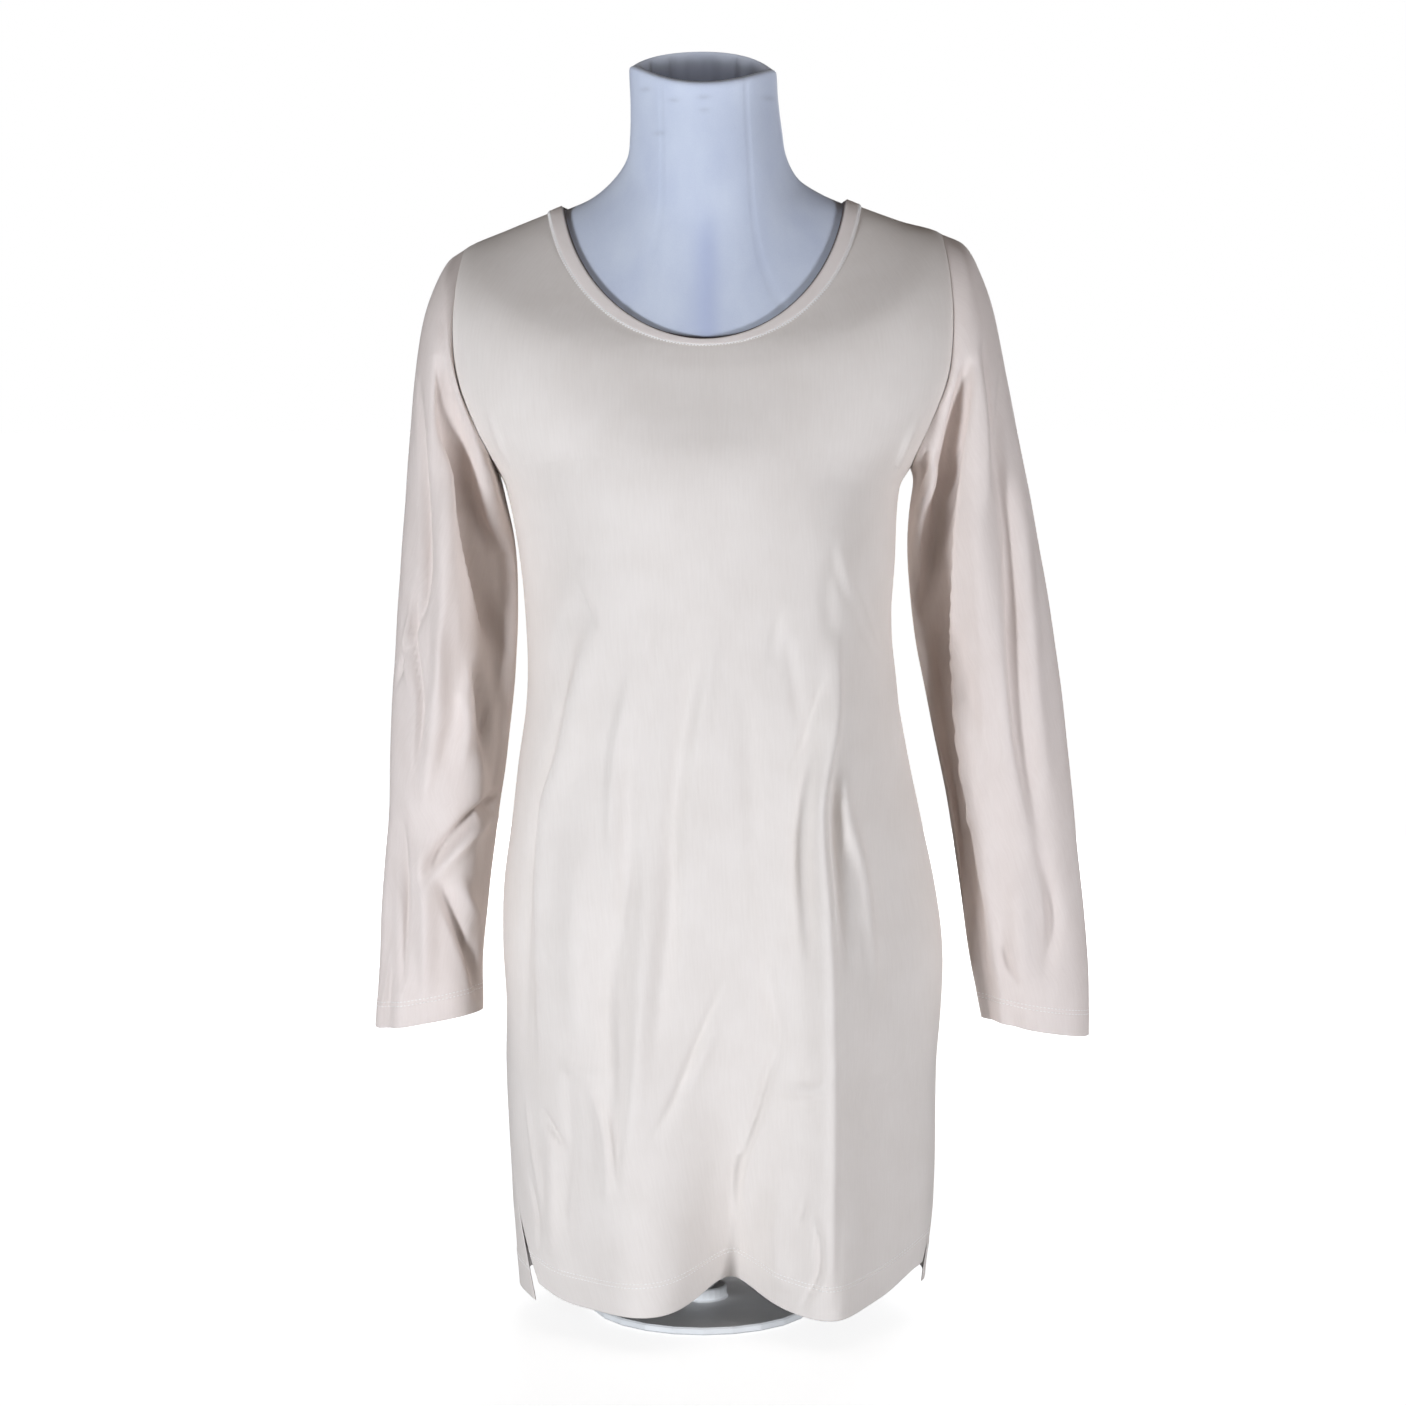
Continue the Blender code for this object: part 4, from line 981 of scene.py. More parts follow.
def paint_material(name):
    """White powder paint: a fine orange peel and a little dust."""
    material, tree, shader = new_material(name, Coat_Weight=0.15, Coat_Roughness=0.35)
    place = own_place(tree)
    peel = noise(tree, place, 0.0014, 2.0)
    dust = noise(tree, place, 0.030, 4.0)
    tones = ((0.3, (0.76, 0.76, 0.75)), (0.7, (0.84, 0.84, 0.83)))
    add_colour(tree, shader, ramp(tree, dust, tones))
    add_roughness(tree, shader, dust, 0.36, 0.52)
    add_bump(tree, shader, peel, 0.00006, 0.5)
    return material


FINISH = {
    "jersey": jersey_material("cream_jersey"),
    "rib": jersey_material("paler_band_jersey", BAND_LIGHT, BAND_DARK),
    "sleeve_jersey": jersey_material("darker_pinker_sleeve_jersey", SLEEVE_JERSEY_LIGHT, SLEEVE_JERSEY_DARK),
    "cover": cover_material("pale_form_cover"),
    "thread": thread_material("cream_thread", (0.97, 0.95, 0.93), (0.88, 0.84, 0.80)),
    "steel": steel_material("brushed_steel"),
    "paint": paint_material("white_powder_paint"),
}


def dress(piece, finish, slot, *replaced):
    """Gives a piece its finish and its body, and hides the nodes that it replaces; its slot is not
    used.
    """
    piece.data.materials.append(FINISH[finish])
    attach(piece, "root")
    if replaced:
        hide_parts(*replaced)


def set_attribute(piece, name, values):
    """A number for each point of a piece, for its material."""
    layer = piece.data.attributes.new(name, "FLOAT", "POINT")
    full = np.zeros(len(piece.data.vertices), np.float32)
    full[: values.size] = values.ravel()
    layer.data.foreach_set("value", full)


# The cloth pieces


def unevenness(u, v, seed):
    """Slow, small waves over the cloth, the mean of five sines of unlike length and
    direction; the seed turns and shifts them."""
    total = np.zeros_like(u)
    for i in range(5):
        angle = 0.9 * i + seed
        wave = 0.045 + 0.017 * i
        total += np.sin(2 * np.pi * (u * np.cos(angle) + v * np.sin(angle)) / wave + 1.7 * i + seed)
    return total / 5


UNEVEN = 0.0005  # the height of the cloth's slow waves
EVEN_AT_SEAM = 0.030  # they fade out over this distance to a seam
EVENER_ON_FORM = 0.7  # the share of them that is gone where the cloth lies on the form
ON_FORM = (0.62, 0.67)  # the levels between which it comes to lie there
DEEPEST_ON_FORM = 0.0009  # no crease goes further in than this where it lies there
DEEPER_BELOW = 0.020  # and this much more elsewhere
SEAM_ROLL = 0.0002  # how far the cloth dips into a seam
SEAM_ROLL_WIDTH = 0.0012
UNDERARM_ROLL = 0.7  # the share of that in the sleeve's own seam
UNDERARM_ROLL_ANGLE = 0.045
STITCH_DIP = 0.00022  # how far a row of stitches pulls the cloth in
STITCH_DIP_WIDTH = 0.0009
STITCH_ROWS_APART = 0.0032
HEM_STEP = 0.00025  # how far the turned up layer raises the cloth
HEM_FALL = (0.0005, 0.0030)  # it ends between these distances above the hem's depth
LAYER_ENDS = 0.003  # its thickness is gone this far above the hem's depth
SLIT_FADE = (-0.012, 0.004)  # the slit's edge changes to a seam between these, at its top
SLIT_TURNED = (0.008, 0.010)  # and its turned layer ends between these from the edge
SLIT_LAYER = 0.9  # the share of that thickness at the slit
SINGLE_EDGE = 0.002  # a side seam's own edge is single
ARMHOLE_SEAM = (0.002, 0.020)  # a sleeve's creases begin between these from the armhole
ARMHOLE_SEAM_RINGS = 0.12  # close rows run over this share of the first ring
ARMHOLE_SEAM_ROWS = 6
CUFF_RINGS = 0.55  # and over this share of the last
CUFF_ROWS = 32


def hem_profile(edge_distance, depth):
    """The hem's height over one layer: raised by the turned up layer, with a dip at each of the
    two rows of stitches near its top, and a short fall to the single layer above them."""
    above = edge_distance - depth
    raised = HEM_STEP * (1 - smooth_step(above, *HEM_FALL))
    for row in (0.0, -STITCH_ROWS_APART):
        raised = raised - STITCH_DIP * np.exp(-(((above - row) / STITCH_DIP_WIDTH) ** 2))
    return raised


def make_panel(face, hem_z, name, creases, seed):
    """The front or back panel from hem to neckline: the tunic's surface, moved along its
    normals by the creases, the turned hem, slow waves, and a dip e^-(distance/width)^2 at
    each seam. Gives the piece, and its points, normals and distances up from the hem."""
    turn, level = panel_grid(face, hem_z)
    base = lift(turn, level, STANDOFF, face)
    normals = tunic_normals(turn, level, face)
    u, v = lengths_along(base, 1), lengths_along(base, 0)
    from_side = np.minimum(u, u[:, -1:] - u)
    in_slit = 1 - smooth_step(level - SLIT_TOP_Z, *SLIT_FADE)
    height = crease_heights(base, normals, creases, face, PANEL_CREASES)
    height = height + hem_profile(v, HEM_DEPTH)
    clear = smooth_step(from_side, 0.0, EVEN_AT_SEAM)
    on_form = smooth_step(level, *ON_FORM)
    waves = unevenness(base[..., 0], base[..., 2], seed)
    height = height + UNEVEN * (1 - EVENER_ON_FORM * on_form) * clear * waves
    roll = SEAM_ROLL * (1 - in_slit) * np.exp(-((from_side / SEAM_ROLL_WIDTH) ** 2))
    slit_hem = HEM_STEP * in_slit * (1 - smooth_step(from_side, *SLIT_TURNED))
    height = height - roll + slit_hem
    height = np.maximum(height, -DEEPEST_ON_FORM - DEEPER_BELOW * (1 - on_form))
    outer = base + height[..., None] * normals
    doubled = np.maximum(1 - smooth_step(v - HEM_DEPTH, 0.0, LAYER_ENDS), in_slit * SLIT_LAYER)
    thickness = JERSEY + HEM_LAYER * doubled * (from_side > SINGLE_EDGE)
    piece = cloth_shell(name, outer, normals, thickness, False, False)
    return piece, (outer, normals, v)


def make_sleeve(side, table, folds, front_creases, back_creases, name, seed):
    """A sleeve from its armhole to its turned cuff, as one tube: its surface, moved along its
    normals by the creases of both faces, the cuff's hem, slow waves and a dip at each seam.
    Gives the piece, and its points, normals and distances from the cuff's edge, edge first."""
    last = float(len(table))
    start = np.linspace(0, ARMHOLE_SEAM_RINGS, ARMHOLE_SEAM_ROWS + 1)[:-1]
    between = SLEEVE_ROWS - ARMHOLE_SEAM_ROWS - CUFF_ROWS
    middle = np.linspace(ARMHOLE_SEAM_RINGS, last - CUFF_RINGS, between)
    end = np.linspace(last - CUFF_RINGS, last, CUFF_ROWS + 1)[1:]
    base = sleeve_surface(side, table, folds, np.concatenate([start, middle, end]))
    normals = grid_normals(base, True, side)
    v = lengths_along(base, 0)
    from_cuff = v[-1:] - v
    height = crease_heights(base, normals, front_creases, -1, SLEEVE_CREASES)
    height = height + crease_heights(base, normals, back_creases, +1, SLEEVE_CREASES)
    height = height * smooth_step(v, *ARMHOLE_SEAM)
    height = height + hem_profile(from_cuff, CUFF_DEPTH)
    clear = smooth_step(v, 0.0, EVEN_AT_SEAM)
    height = height + UNEVEN * clear * unevenness(np.zeros_like(v), v, seed)
    height = height - SEAM_ROLL * np.exp(-((v / SEAM_ROLL_WIDTH) ** 2))
    under = np.abs(np.arange(SLEEVE_COLUMNS) - SLEEVE_COLUMNS / 2) * 2 * np.pi / SLEEVE_COLUMNS
    roll = SEAM_ROLL * UNDERARM_ROLL * np.exp(-((under / UNDERARM_ROLL_ANGLE) ** 2))
    outer = base + (height - roll)[..., None] * normals
    doubled = 1 - smooth_step(from_cuff - CUFF_DEPTH, 0.0, LAYER_ENDS)
    piece = cloth_shell(name, outer, normals, JERSEY + HEM_LAYER * doubled, True, side < 0)
    return piece, (outer[::-1], normals[::-1], from_cuff[::-1])


BAND_SECTION = 32
BAND_SQUARENESS = 4
BAND_CROWN = 0.0003
BAND_ROLL = 0.0020  # how far its inner edge turns down to the form, over
BAND_ROLL_WIDTH = 0.0014
BAND_RIPPLE = 0.00012  # the stitches' pull on its lower edge
RIPPLE_COLUMNS = 4  # in a radian of a ripple
BAND_EDGE_SHADOW_FADE = (0.0002, 0.0008)  # its painted shadow on the inner edge fades in between these, above the neckline
BAND_UNDERSIDE = -0.2  # painted shade darkens its underside below this share of its thickness


def make_band(name):
    """The neck band: a flat, softly rounded strip carried round the neckline. Its section is a
    rounded rectangle of distance below the neckline and height over the panels, turned down
    at its inner edge. Its underside and that edge are painted dark, as shadow against the form."""
    turn = np.arange(BAND_COLUMNS) * 2 * np.pi / BAND_COLUMNS
    around = np.linspace(0, 2 * np.pi, BAND_SECTION + 1)
    c, s = np.cos(around), np.sin(around)
    radius = (np.abs(c) ** BAND_SQUARENESS + np.abs(s) ** BAND_SQUARENESS) ** (-1 / BAND_SQUARENESS)
    middle = BAND_WIDTH / 2 - BAND_OVERHANG
    below = middle - BAND_WIDTH / 2 * radius * c
    low = STANDOFF + SEAM_GAP
    rise = low + BAND_THICKNESS * (0.5 + 0.5 * radius * s)
    rise = rise + BAND_CROWN * np.clip(s, 0, 1)
    rise = rise - BAND_ROLL * smooth_step(-below, 0.0, BAND_ROLL_WIDTH)
    level = levels_below_neck(turn, below)
    ripple = BAND_RIPPLE * np.sin(turn * BAND_COLUMNS / RIPPLE_COLUMNS)
    ripple = ripple[None, :] * (np.clip(s, 0, 1) * smooth_step(below, middle, BAND_WIDTH))[:, None]
    grid = lift(turn + 0 * level, level, (rise[:, None] + ripple)[..., None])
    at = np.arange(BAND_SECTION * BAND_COLUMNS).reshape(BAND_SECTION, BAND_COLUMNS)
    at = wrap(np.concatenate([at, at[:1]], axis=0))
    wrapped = wrap(grid)
    uv = np.stack([lengths_along(wrapped, 1), lengths_along(wrapped, 0)], -1).reshape(-1, 2)
    corner = np.arange(len(uv)).reshape(at.shape)
    piece = mesh_object(name, grid[:-1].reshape(-1, 3), grid_quads(at)[:, ::-1],
                        uv[grid_quads(corner)[:, ::-1]])
    # painted shadow: dark along the inner edge and over the whole underside
    edge = smooth_step(-below[:-1], *BAND_EDGE_SHADOW_FADE)
    edge = np.maximum(edge, (s[:-1] < BAND_UNDERSIDE) * 1.0)
    set_attribute(piece, "band_painted_shadow", edge[:, None] + 0 * grid[:-1, :, 0])
    return piece


# Sewing


def row_on_cloth(outer, normals, distance, wanted):
    """The line over the cloth at one distance from its edge, with the normals there: each
    column is read between the two rows that the distance falls between."""
    i = np.clip((distance < wanted).sum(axis=0) - 1, 0, len(distance) - 2)
    columns = np.arange(distance.shape[1])
    low, high = distance[i, columns], distance[i + 1, columns]
    t = ((wanted - low) / (high - low))[:, None]
    return [a[i, columns] * (1 - t) + a[i + 1, columns] * t for a in (outer, normals)]


def read_path(path, normals, places):
    """Points and unit normals at the given distances along a path, and the path's length."""
    length = lengths_along(path[:, None], 0)[:, 0]
    points = np.stack([np.interp(places, length, path[:, k]) for k in range(3)], -1)
    n = np.stack([np.interp(places, length, normals[:, k]) for k in range(3)], -1)
    return points, unit(n), length[-1]


THREAD_SIDES = 5
THREAD_SECTIONS = ((0.0, 0.3), (0.25, 1.0), (0.75, 1.0), (1.0, 0.3))  # along, of the radius


def thread_mesh(name, starts, ends, normals, radius, arch):
    """Many short stitches as one mesh. Each is a little tube from its start to its end that
    arches out of the cloth, with tapered closed ends."""
    along = unit(ends - starts)
    across = unit(np.cross(along, normals))
    angle = np.arange(THREAD_SIDES) * 2 * np.pi / THREAD_SIDES
    rings = []
    for share, size in THREAD_SECTIONS:
        centre = starts + (ends - starts) * share + normals * (arch * np.sin(np.pi * share))
        spoke = (across[:, None] * np.cos(angle)[None, :, None]
                 + normals[:, None] * np.sin(angle)[None, :, None])
        rings.append(centre[:, None] + spoke * radius * size)
    points = np.stack(rings, axis=1)
    count, sections = points.shape[:2]
    one = np.arange(sections * THREAD_SIDES).reshape(sections, THREAD_SIDES)
    quads = grid_quads(wrap(one))[:, ::-1]
    fan = np.array([(0, i, i + 1) for i in range(1, THREAD_SIDES - 1)])
    triangles = np.concatenate([one[0][fan], one[-1][fan[:, ::-1]]])
    offset = np.arange(count)[:, None, None] * one.size
    return mesh_object(name, points.reshape(-1, 3), (quads[None] + offset).reshape(-1, 4),
                       triangles=(triangles[None] + offset).reshape(-1, 3))


STITCH_PITCH = 0.0030
STITCH_LENGTH = 0.0022
THREAD_RADIUS = 0.00030
STITCH_ARCH = 0.8  # how far a stitch stands up, in thread radii


def stitch_ends(path, normals, closed):
    """Starts, ends and normals of a row of stitches along a path."""
    if closed:
        path = np.concatenate([path, path[:1]])
        normals = np.concatenate([normals, normals[:1]])
    total = read_path(path, normals, [0.0])[2]
    places = np.arange(0.0, total - STITCH_LENGTH, STITCH_PITCH)
    starts, n, _ = read_path(path, normals, places)
    ends = read_path(path, normals, places + STITCH_LENGTH)[0]
    return starts, ends, n


def sew_hems(name, cloths, depth, closed):
    """One mesh of stitches: two rows on each cloth, at the hem's depth and a little below."""
    rows = []
    for outer, normals, up in cloths:
        for height in (depth, depth - STITCH_ROWS_APART):
            rows.append(stitch_ends(*row_on_cloth(outer, normals, up, height), closed))
    starts, ends, n = (np.concatenate(part) for part in zip(*rows))
    return thread_mesh(name, starts, ends, n, THREAD_RADIUS, THREAD_RADIUS * STITCH_ARCH)


ZIGZAG_PITCH = 0.0024
ZIGZAG_ON_BAND = 0.0008  # from the band's lower edge up to one end of a stitch
ZIGZAG_BELOW = 0.0018  # and down to the other
ZIGZAG_THREAD = 1.15  # its thread's radius and arch, in thread radii
ZIGZAG_ARCH = 1.6


def sew_neck(name):
    """The zigzag that holds the neck band: one end of each stitch on the band, the other just
    below it on the panels."""
    edge = BAND_WIDTH - BAND_OVERHANG
    fine = np.linspace(0, 2 * np.pi, 4 * BAND_COLUMNS + 1)
    path = lift(fine, levels_below_neck(fine, [edge])[0], STANDOFF)
    length = lengths_along(path[:, None], 0)[:, 0]
    count = 2 * int(round(length[-1] / ZIGZAG_PITCH))
    turn = np.interp(np.linspace(0, length[-1], count + 1), length, fine)
    high = STANDOFF + SEAM_GAP + BAND_THICKNESS
    on_band = lift(turn, levels_below_neck(turn, [edge - ZIGZAG_ON_BAND])[0], high)
    on_panel = lift(turn, levels_below_neck(turn, [edge + ZIGZAG_BELOW])[0], STANDOFF)
    ends = np.where((np.arange(count + 1) % 2 == 0)[:, None], on_band, on_panel)
    normals = tunic_normals(turn, levels_below_neck(turn, [edge])[0])
    return thread_mesh(name, ends[:-1], ends[1:], normals[:-1], THREAD_RADIUS * ZIGZAG_THREAD,
                       THREAD_RADIUS * ZIGZAG_ARCH)


# The dress form

RIM_RADIUS = 0.052
RIM_ROUND = 0.0028  # the radius of its rounded edge
RIM_CORNERS = 0.0032  # how far it stands up at both back corners
NECK_HOLLOW = (
    # inward from the rim, and down
    (0.0, 0.0),
    (0.0016, 0.0005),
    (0.0034, 0.0032),
    (0.0046, 0.012),
    (0.0066, 0.036),
)
HOLLOW_ROWS = 40
HOLLOW_SHADE_ROWS = (0.9, 3.6)  # its painted shade darkens between these of its rows
FLOOR_SHARES = (0.97, 0.85, 0.65, 0.45, 0.25, 0.10)  # rings of its floor, of its lowest ring
FLOOR_WAVES = 0.0008
PUCKERS = 17  # gathers round the rim
PUCKER_DEPTH = 0.0034
PUCKERED = (0.6, 2.6)  # they grow between these of the hollow's rows
FRONT_SEAM_X = 0.003
FRONT_SEAM_Z = (0.68, 0.70, 0.83, 0.88)  # where it begins, is whole, fades and ends
FRONT_RIDGE = 0.0009
FRONT_RIDGE_WIDTH = 0.0065
FRONT_PAINTED_SHADE = 0.75  # the strength of the bluish painted shade along it, beside its ridge
FRONT_PAINTED_SHADE_WIDTH = 0.0095
COVER_SEAM_TURNS = (235, 305, 55, 125)  # degrees, the cover's four other seams
COVER_SEAM_DEPTH = 0.0005
COVER_SEAM_ANGLE = 0.022
COVER_SEAM_Z = (0.24, 0.30)  # they deepen between these heights
MARK_SHARE = 0.28
MARK_LENGTH = 2.6  # a mark is this much longer than it is high
MARKS = (
    # x, z, half its height
    (-0.044, 0.9540, 0.0016),
    (-0.022, 0.9450, 0.0016),
    (0.0005, 0.9470, 0.0018),
    (0.0010, 0.9370, 0.0015),
    (-0.033, 0.9205, 0.0016),
    (0.050, 0.9480, 0.0018),
)


def make_form(name):
    """The dress form: the torso's rings with a soft ridge along the front seam and faint
    grooves along four more, each e^-(distance/width)^2 across, then the cover turned over the
    rim as a quarter round and gathered down into the hollow neck, in waves of uneven depth
    and spacing."""
    turn = np.arange(FORM_COLUMNS) * 2 * np.pi / FORM_COLUMNS
    low = np.concatenate([[0.222, 0.224, 0.227, 0.232], np.linspace(0.238, 0.645, 62)])
    near_rim = 0.955 - 0.0070 * np.cos(np.linspace(0, np.pi / 2, 12))
    level = np.concatenate([low, np.linspace(0.65, 0.947, 146), near_rim])[:, None] + 0 * turn
    turns = turn + 0 * level
    surface = form(turns, level)
    normals = grid_normals(surface, True, 1)
    x, z = surface[..., 0], surface[..., 2]
    front = np.sin(turns) < 0
    shown = front * smooth_step(z, *FRONT_SEAM_Z[:2]) * (1 - smooth_step(z, *FRONT_SEAM_Z[2:]))
    height = FRONT_RIDGE * shown * np.exp(-(((x - FRONT_SEAM_X) / FRONT_RIDGE_WIDTH) ** 2))
    for degrees in COVER_SEAM_TURNS:
        off = np.angle(np.exp(1j * (turns - np.radians(degrees))))
        groove = COVER_SEAM_DEPTH * np.exp(-((off / COVER_SEAM_ANGLE) ** 2))
        height = height - groove * smooth_step(z, *COVER_SEAM_Z)
    surface = surface + height[..., None] * normals
    near = np.clip(1 - (surface[-1, :, 2] - surface[..., 2]) / RIM_ROUND, 0, 1)
    inset = RIM_ROUND / RIM_RADIUS * (1 - np.sqrt(1 - near**2))
    surface = surface + (surface.mean(axis=1, keepdims=True) - surface) * inset[..., None]
    corners = np.abs(np.sin(2 * turns) * np.cos(turns)) * ~front
    surface[..., 2] += RIM_CORNERS * near * corners
    rim = surface[-1]
    centre = rim.mean(axis=0)
    steps = np.linspace(0, len(NECK_HOLLOW) - 1, HOLLOW_ROWS + 1)[1:]
    profile = read_evenly(np.array(NECK_HOLLOW), steps)
    wobble = 0.5 * np.sin(3 * turn + 1.0) + 0.35 * np.sin(7 * turn)
    pleat = np.sin(PUCKERS * turn + 2 * wobble) * (0.7 + 0.3 * np.sin(5 * turn + 2.0))
    rings = []
    for (inset, depth), step in zip(profile, steps):
        grown = smooth_step(step, *PUCKERED)
        inward = inset / RIM_RADIUS + PUCKER_DEPTH / RIM_RADIUS * grown * (0.5 + 0.5 * pleat)
        ring = rim + (centre - rim) * inward[:, None]
        rings.append(ring - np.array([0.0, 0.0, depth]))
    last = rings[-1]
    middle = last.mean(axis=0)
    for share in FLOOR_SHARES:
        ring = middle + (last - middle) * share
        rings.append(ring + np.stack([0 * turn, 0 * turn, FLOOR_WAVES * pleat * share], -1))
    outside = len(surface)
    surface = np.concatenate([surface, np.array(rings)])
    rows = len(surface)
    at = wrap(np.arange(rows * FORM_COLUMNS).reshape(rows, FORM_COLUMNS))
    bottom, top = rows * FORM_COLUMNS, rows * FORM_COLUMNS + 1
    fans = [np.stack([0 * at[0, :-1] + bottom, at[0, 1:], at[0, :-1]], -1),
            np.stack([0 * at[0, :-1] + top, at[-1, :-1], at[-1, 1:]], -1)]
    ends = [surface[0].mean(axis=0), surface[-1].mean(axis=0)]
    piece = mesh_object(name, np.concatenate([surface.reshape(-1, 3), ends]), grid_quads(at),
                        triangles=np.concatenate(fans))
    hollow_painted_shade, seam_shade, marks = np.zeros((3, *surface.shape[:2]))
    # painted shade down the neck hollow, whole over its floor
    hollow_painted_shade[outside:-len(FLOOR_SHARES)] = smooth_step(steps, *HOLLOW_SHADE_ROWS)[:, None]
    hollow_painted_shade[-len(FLOOR_SHARES):] = 1
    set_attribute(piece, "hollow_painted_shade", hollow_painted_shade)
    # painted shade along the front seam's ridge
    wide = np.exp(-(((x - FRONT_SEAM_X) / FRONT_PAINTED_SHADE_WIDTH) ** 2))
    seam_shade[:outside] = FRONT_PAINTED_SHADE * shown * wide
    set_attribute(piece, "front_seam_painted_shade", seam_shade)
    for mark_x, mark_z, size in MARKS:
        apart = ((x - mark_x) / MARK_LENGTH) ** 2 + (z - mark_z) ** 2
        marks[:outside] += MARK_SHARE * front * np.exp(-apart / size**2)
    set_attribute(piece, "marks", np.clip(marks, 0, 1))
    return piece


# Making and dressing every piece

dress(make_form("dress_form"), "cover", "form_cover", "form")
front, front_cloth = make_panel(-1, FRONT_HEM_Z, "tunic_front", FRONT_CREASES, 0.4)
back, back_cloth = make_panel(+1, BACK_HEM_Z, "tunic_back", BACK_CREASES, 1.9)
left, left_cloth = make_sleeve(
    -1, SLEEVE_LEFT, SLEEVE_LEFT_FOLDS, SLEEVE_LEFT_CREASES, SLEEVE_LEFT_BACK_CREASES,
    "tunic_sleeve_left", 2.3)
right, right_cloth = make_sleeve(
    +1, SLEEVE_RIGHT, SLEEVE_RIGHT_FOLDS, SLEEVE_RIGHT_CREASES, SLEEVE_RIGHT_BACK_CREASES,
    "tunic_sleeve_right", 3.1)
band = make_band("tunic_neck_band")
dress(front, "jersey", "jersey", "front_panel")
dress(back, "jersey", "jersey", "back_panel")
dress(left, "sleeve_jersey", "jersey", "sleeve_left")
dress(right, "sleeve_jersey", "jersey", "sleeve_right")
dress(band, "rib", "jersey", "neck_band")
hem_stitches = sew_hems("hem_stitches", (front_cloth, back_cloth), HEM_DEPTH, False)
cuff_stitches = sew_hems("cuff_stitches", (left_cloth, right_cloth), CUFF_DEPTH, True)
for stitches in (hem_stitches, cuff_stitches, sew_neck("neck_zigzag")):
    dress(stitches, "thread", "jersey")

for name, finish in (("base_plate", "paint"), ("post", "steel"), ("form_socket", "steel")):
    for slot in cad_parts[name].material_slots:
        slot.material = FINISH[finish]

# Floor, light and camera

FLOOR_SIDES = 96
FLOOR_RADII = (0.3, 1.0, 3.0, 9.0, 30.0)
FLOOR_DROP = 0.0002  # so that the base plate's underside doesn't touch it
FLOOR_TONES = ((0.35, 0.35, 0.35), (0.36, 0.36, 0.36))
FLOOR_GLOW = 0.86  # near the stand, and whole from FLOOR_FAR on
FLOOR_NEAR = 0.4
FLOOR_FAR = 2.0
GLOW_REACH = 4.0


def make_floor():
    """A large pale disc under the stand. To the camera it glows nearly white, wholly so further
    out, and it lights the tunic no more than its grey tone does."""
    angle = np.arange(FLOOR_SIDES) * 2 * np.pi / FLOOR_SIDES
    circle = np.stack([np.cos(angle), np.sin(angle), 0 * angle], -1)
    rings = np.array([r * circle for r in FLOOR_RADII]) - np.array([0.0, 0.0, FLOOR_DROP])
    at = wrap(np.arange(len(FLOOR_RADII) * FLOOR_SIDES).reshape(-1, FLOOR_SIDES))
    centre = np.array([[0.0, 0.0, -FLOOR_DROP]])
    fan = np.stack([0 * at[0, :-1] + at.max() + 1, at[0, :-1], at[0, 1:]], -1)
    floor = mesh_object("studio_floor", np.concatenate([rings.reshape(-1, 3), centre]),
                        grid_quads(at)[:, ::-1], triangles=fan)
    material, tree, shader = new_material("pale_floor", Roughness=0.9)
    place = own_place(tree)
    tone = noise(tree, place, 0.6, 2.0)
    add_colour(tree, shader, ramp(tree, tone, ((0.3, FLOOR_TONES[0]), (0.7, FLOOR_TONES[1]))))
    shader.inputs["Emission Color"].default_value = (1.0, 1.0, 1.0, 1.0)
    far = node(tree, "ShaderNodeVectorMath", {0: place}, operation="LENGTH").outputs["Value"]
    share = node(tree, "ShaderNodeMath", {0: far, 1: 1 / GLOW_REACH}, operation="MULTIPLY").outputs[0]
    stops = ((FLOOR_NEAR, (FLOOR_GLOW,) * 3), (FLOOR_FAR, (1.0, 1.0, 1.0)))
    glow = ramp(tree, share, [(place / GLOW_REACH, colour) for place, colour in stops])
    seen = node(tree, "ShaderNodeLightPath").outputs["Is Camera Ray"]
    lit = node(tree, "ShaderNodeMath", {0: glow, 1: seen}, operation="MULTIPLY").outputs[0]
    tree.links.new(lit, shader.inputs["Emission Strength"])
    floor.data.materials.append(material)


def place_aimed(name, data, place, aim):
    """A light or camera at a place, turned towards its aim."""
    made = bpy.data.objects.new(name, data)
    made.location = place
    made.rotation_euler = (Vector(aim) - Vector(place)).to_track_quat("-Z", "Y").to_euler()
    bpy.context.scene.collection.objects.link(made)
    return made


def add_light(name, place, aim, size, power, colour):
    """A light: a soft rectangle of two sides, or a small soft-edged spot of one angle in
    degrees."""
    spot = len(size) == 1
    light = bpy.data.lights.new(name, "SPOT" if spot else "AREA")
    if spot:
        light.spot_size = np.radians(size[0])
        light.spot_blend = 0.7
        light.shadow_soft_size = 0.04
    else:
        light.shape = "RECTANGLE"
        light.size, light.size_y = size
    light.energy = power
    light.color = colour
    place_aimed(name, light, place, aim)


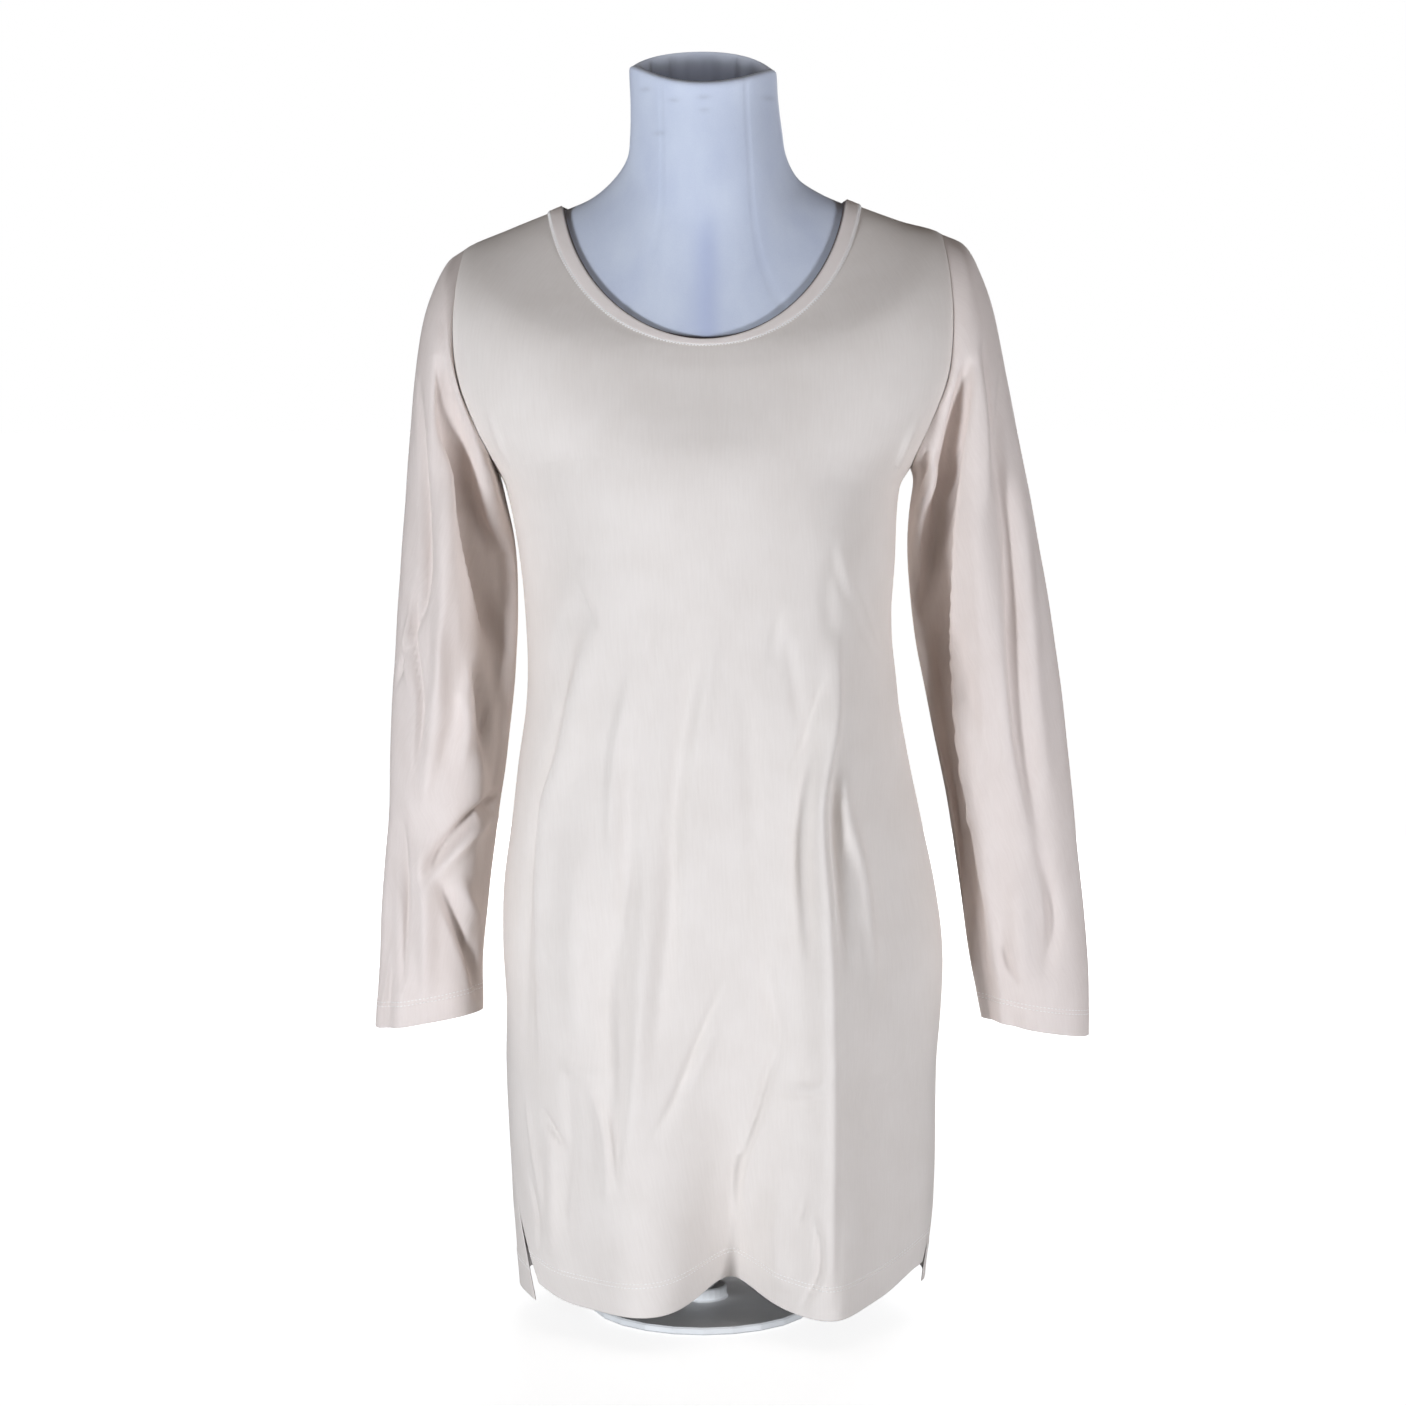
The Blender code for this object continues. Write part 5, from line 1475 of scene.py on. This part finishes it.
LIGHTS = (
    # name, place, aim, sides or angle, power in watts, colour
    ("left_soft_light", (-1.54, -1.64, 0.17), (0.0, 0.0, 0.42), (0.45, 0.30), 41.5, (0.865, 0.92, 1.0)),
    ("right_soft_light", (1.70, -1.48, 0.17), (0.0, 0.0, 0.42), (0.45, 0.30), 29.5, (0.875, 0.92, 1.0)),
    ("back_soft_light", (0.4, 2.6, 0.8), (0.0, 0.0, 0.5), (1.8, 1.4), 65.0, (0.95, 0.96, 1.0)),
    ("rim_spot", (0.0, -1.10, 1.75), (0.0, 0.045, 0.985), (6.5,), 42.0, (0.95, 0.97, 1.0)),
)
LIGHT_FROM_BELOW = (0.095, 0.081, 0.071)
LIGHT_FROM_ABOVE = (0.080, 0.062, 0.046)
BACKDROP = (1.0, 1.0, 1.0)


def light_world():
    """A pale, even surround: white where it is looked at, and as light dim, most so above."""
    world = bpy.data.worlds.new("studio")
    bpy.context.scene.world = world
    world.use_nodes = True
    tree = world.node_tree
    tree.nodes.clear()
    towards = node(tree, "ShaderNodeTexCoord").outputs["Generated"]
    height = node(tree, "ShaderNodeSeparateXYZ", {"Vector": towards}).outputs["Z"]
    light = ramp(tree, height, ((0.0, LIGHT_FROM_BELOW), (0.55, LIGHT_FROM_ABOVE)))
    seen = node(tree, "ShaderNodeLightPath").outputs["Is Camera Ray"]
    colour = mixed(tree, seen, light, BACKDROP)
    shade = node(tree, "ShaderNodeBackground", {"Color": colour, "Strength": 1.0})
    node(tree, "ShaderNodeOutputWorld", {"Surface": shade.outputs[0]})


CAMERA_PLACE = (0.0, -2.5858, 0.7538)
CAMERA_AIM = (0.0, 0.0, 0.482)
CAMERA_LENS = 84.9
SENSOR = 36.0


def add_camera():
    """The camera at the photograph's angle, a little above the tunic's middle."""
    data = bpy.data.cameras.new("photo_camera")
    data.lens = CAMERA_LENS
    data.sensor_width = SENSOR
    data.sensor_fit = "HORIZONTAL"
    bpy.context.scene.camera = place_aimed("photo_camera", data, CAMERA_PLACE, CAMERA_AIM)


bpy.context.scene.view_settings.view_transform = "Standard"
make_floor()
light_world()
for row in LIGHTS:
    add_light(*row)
add_camera()
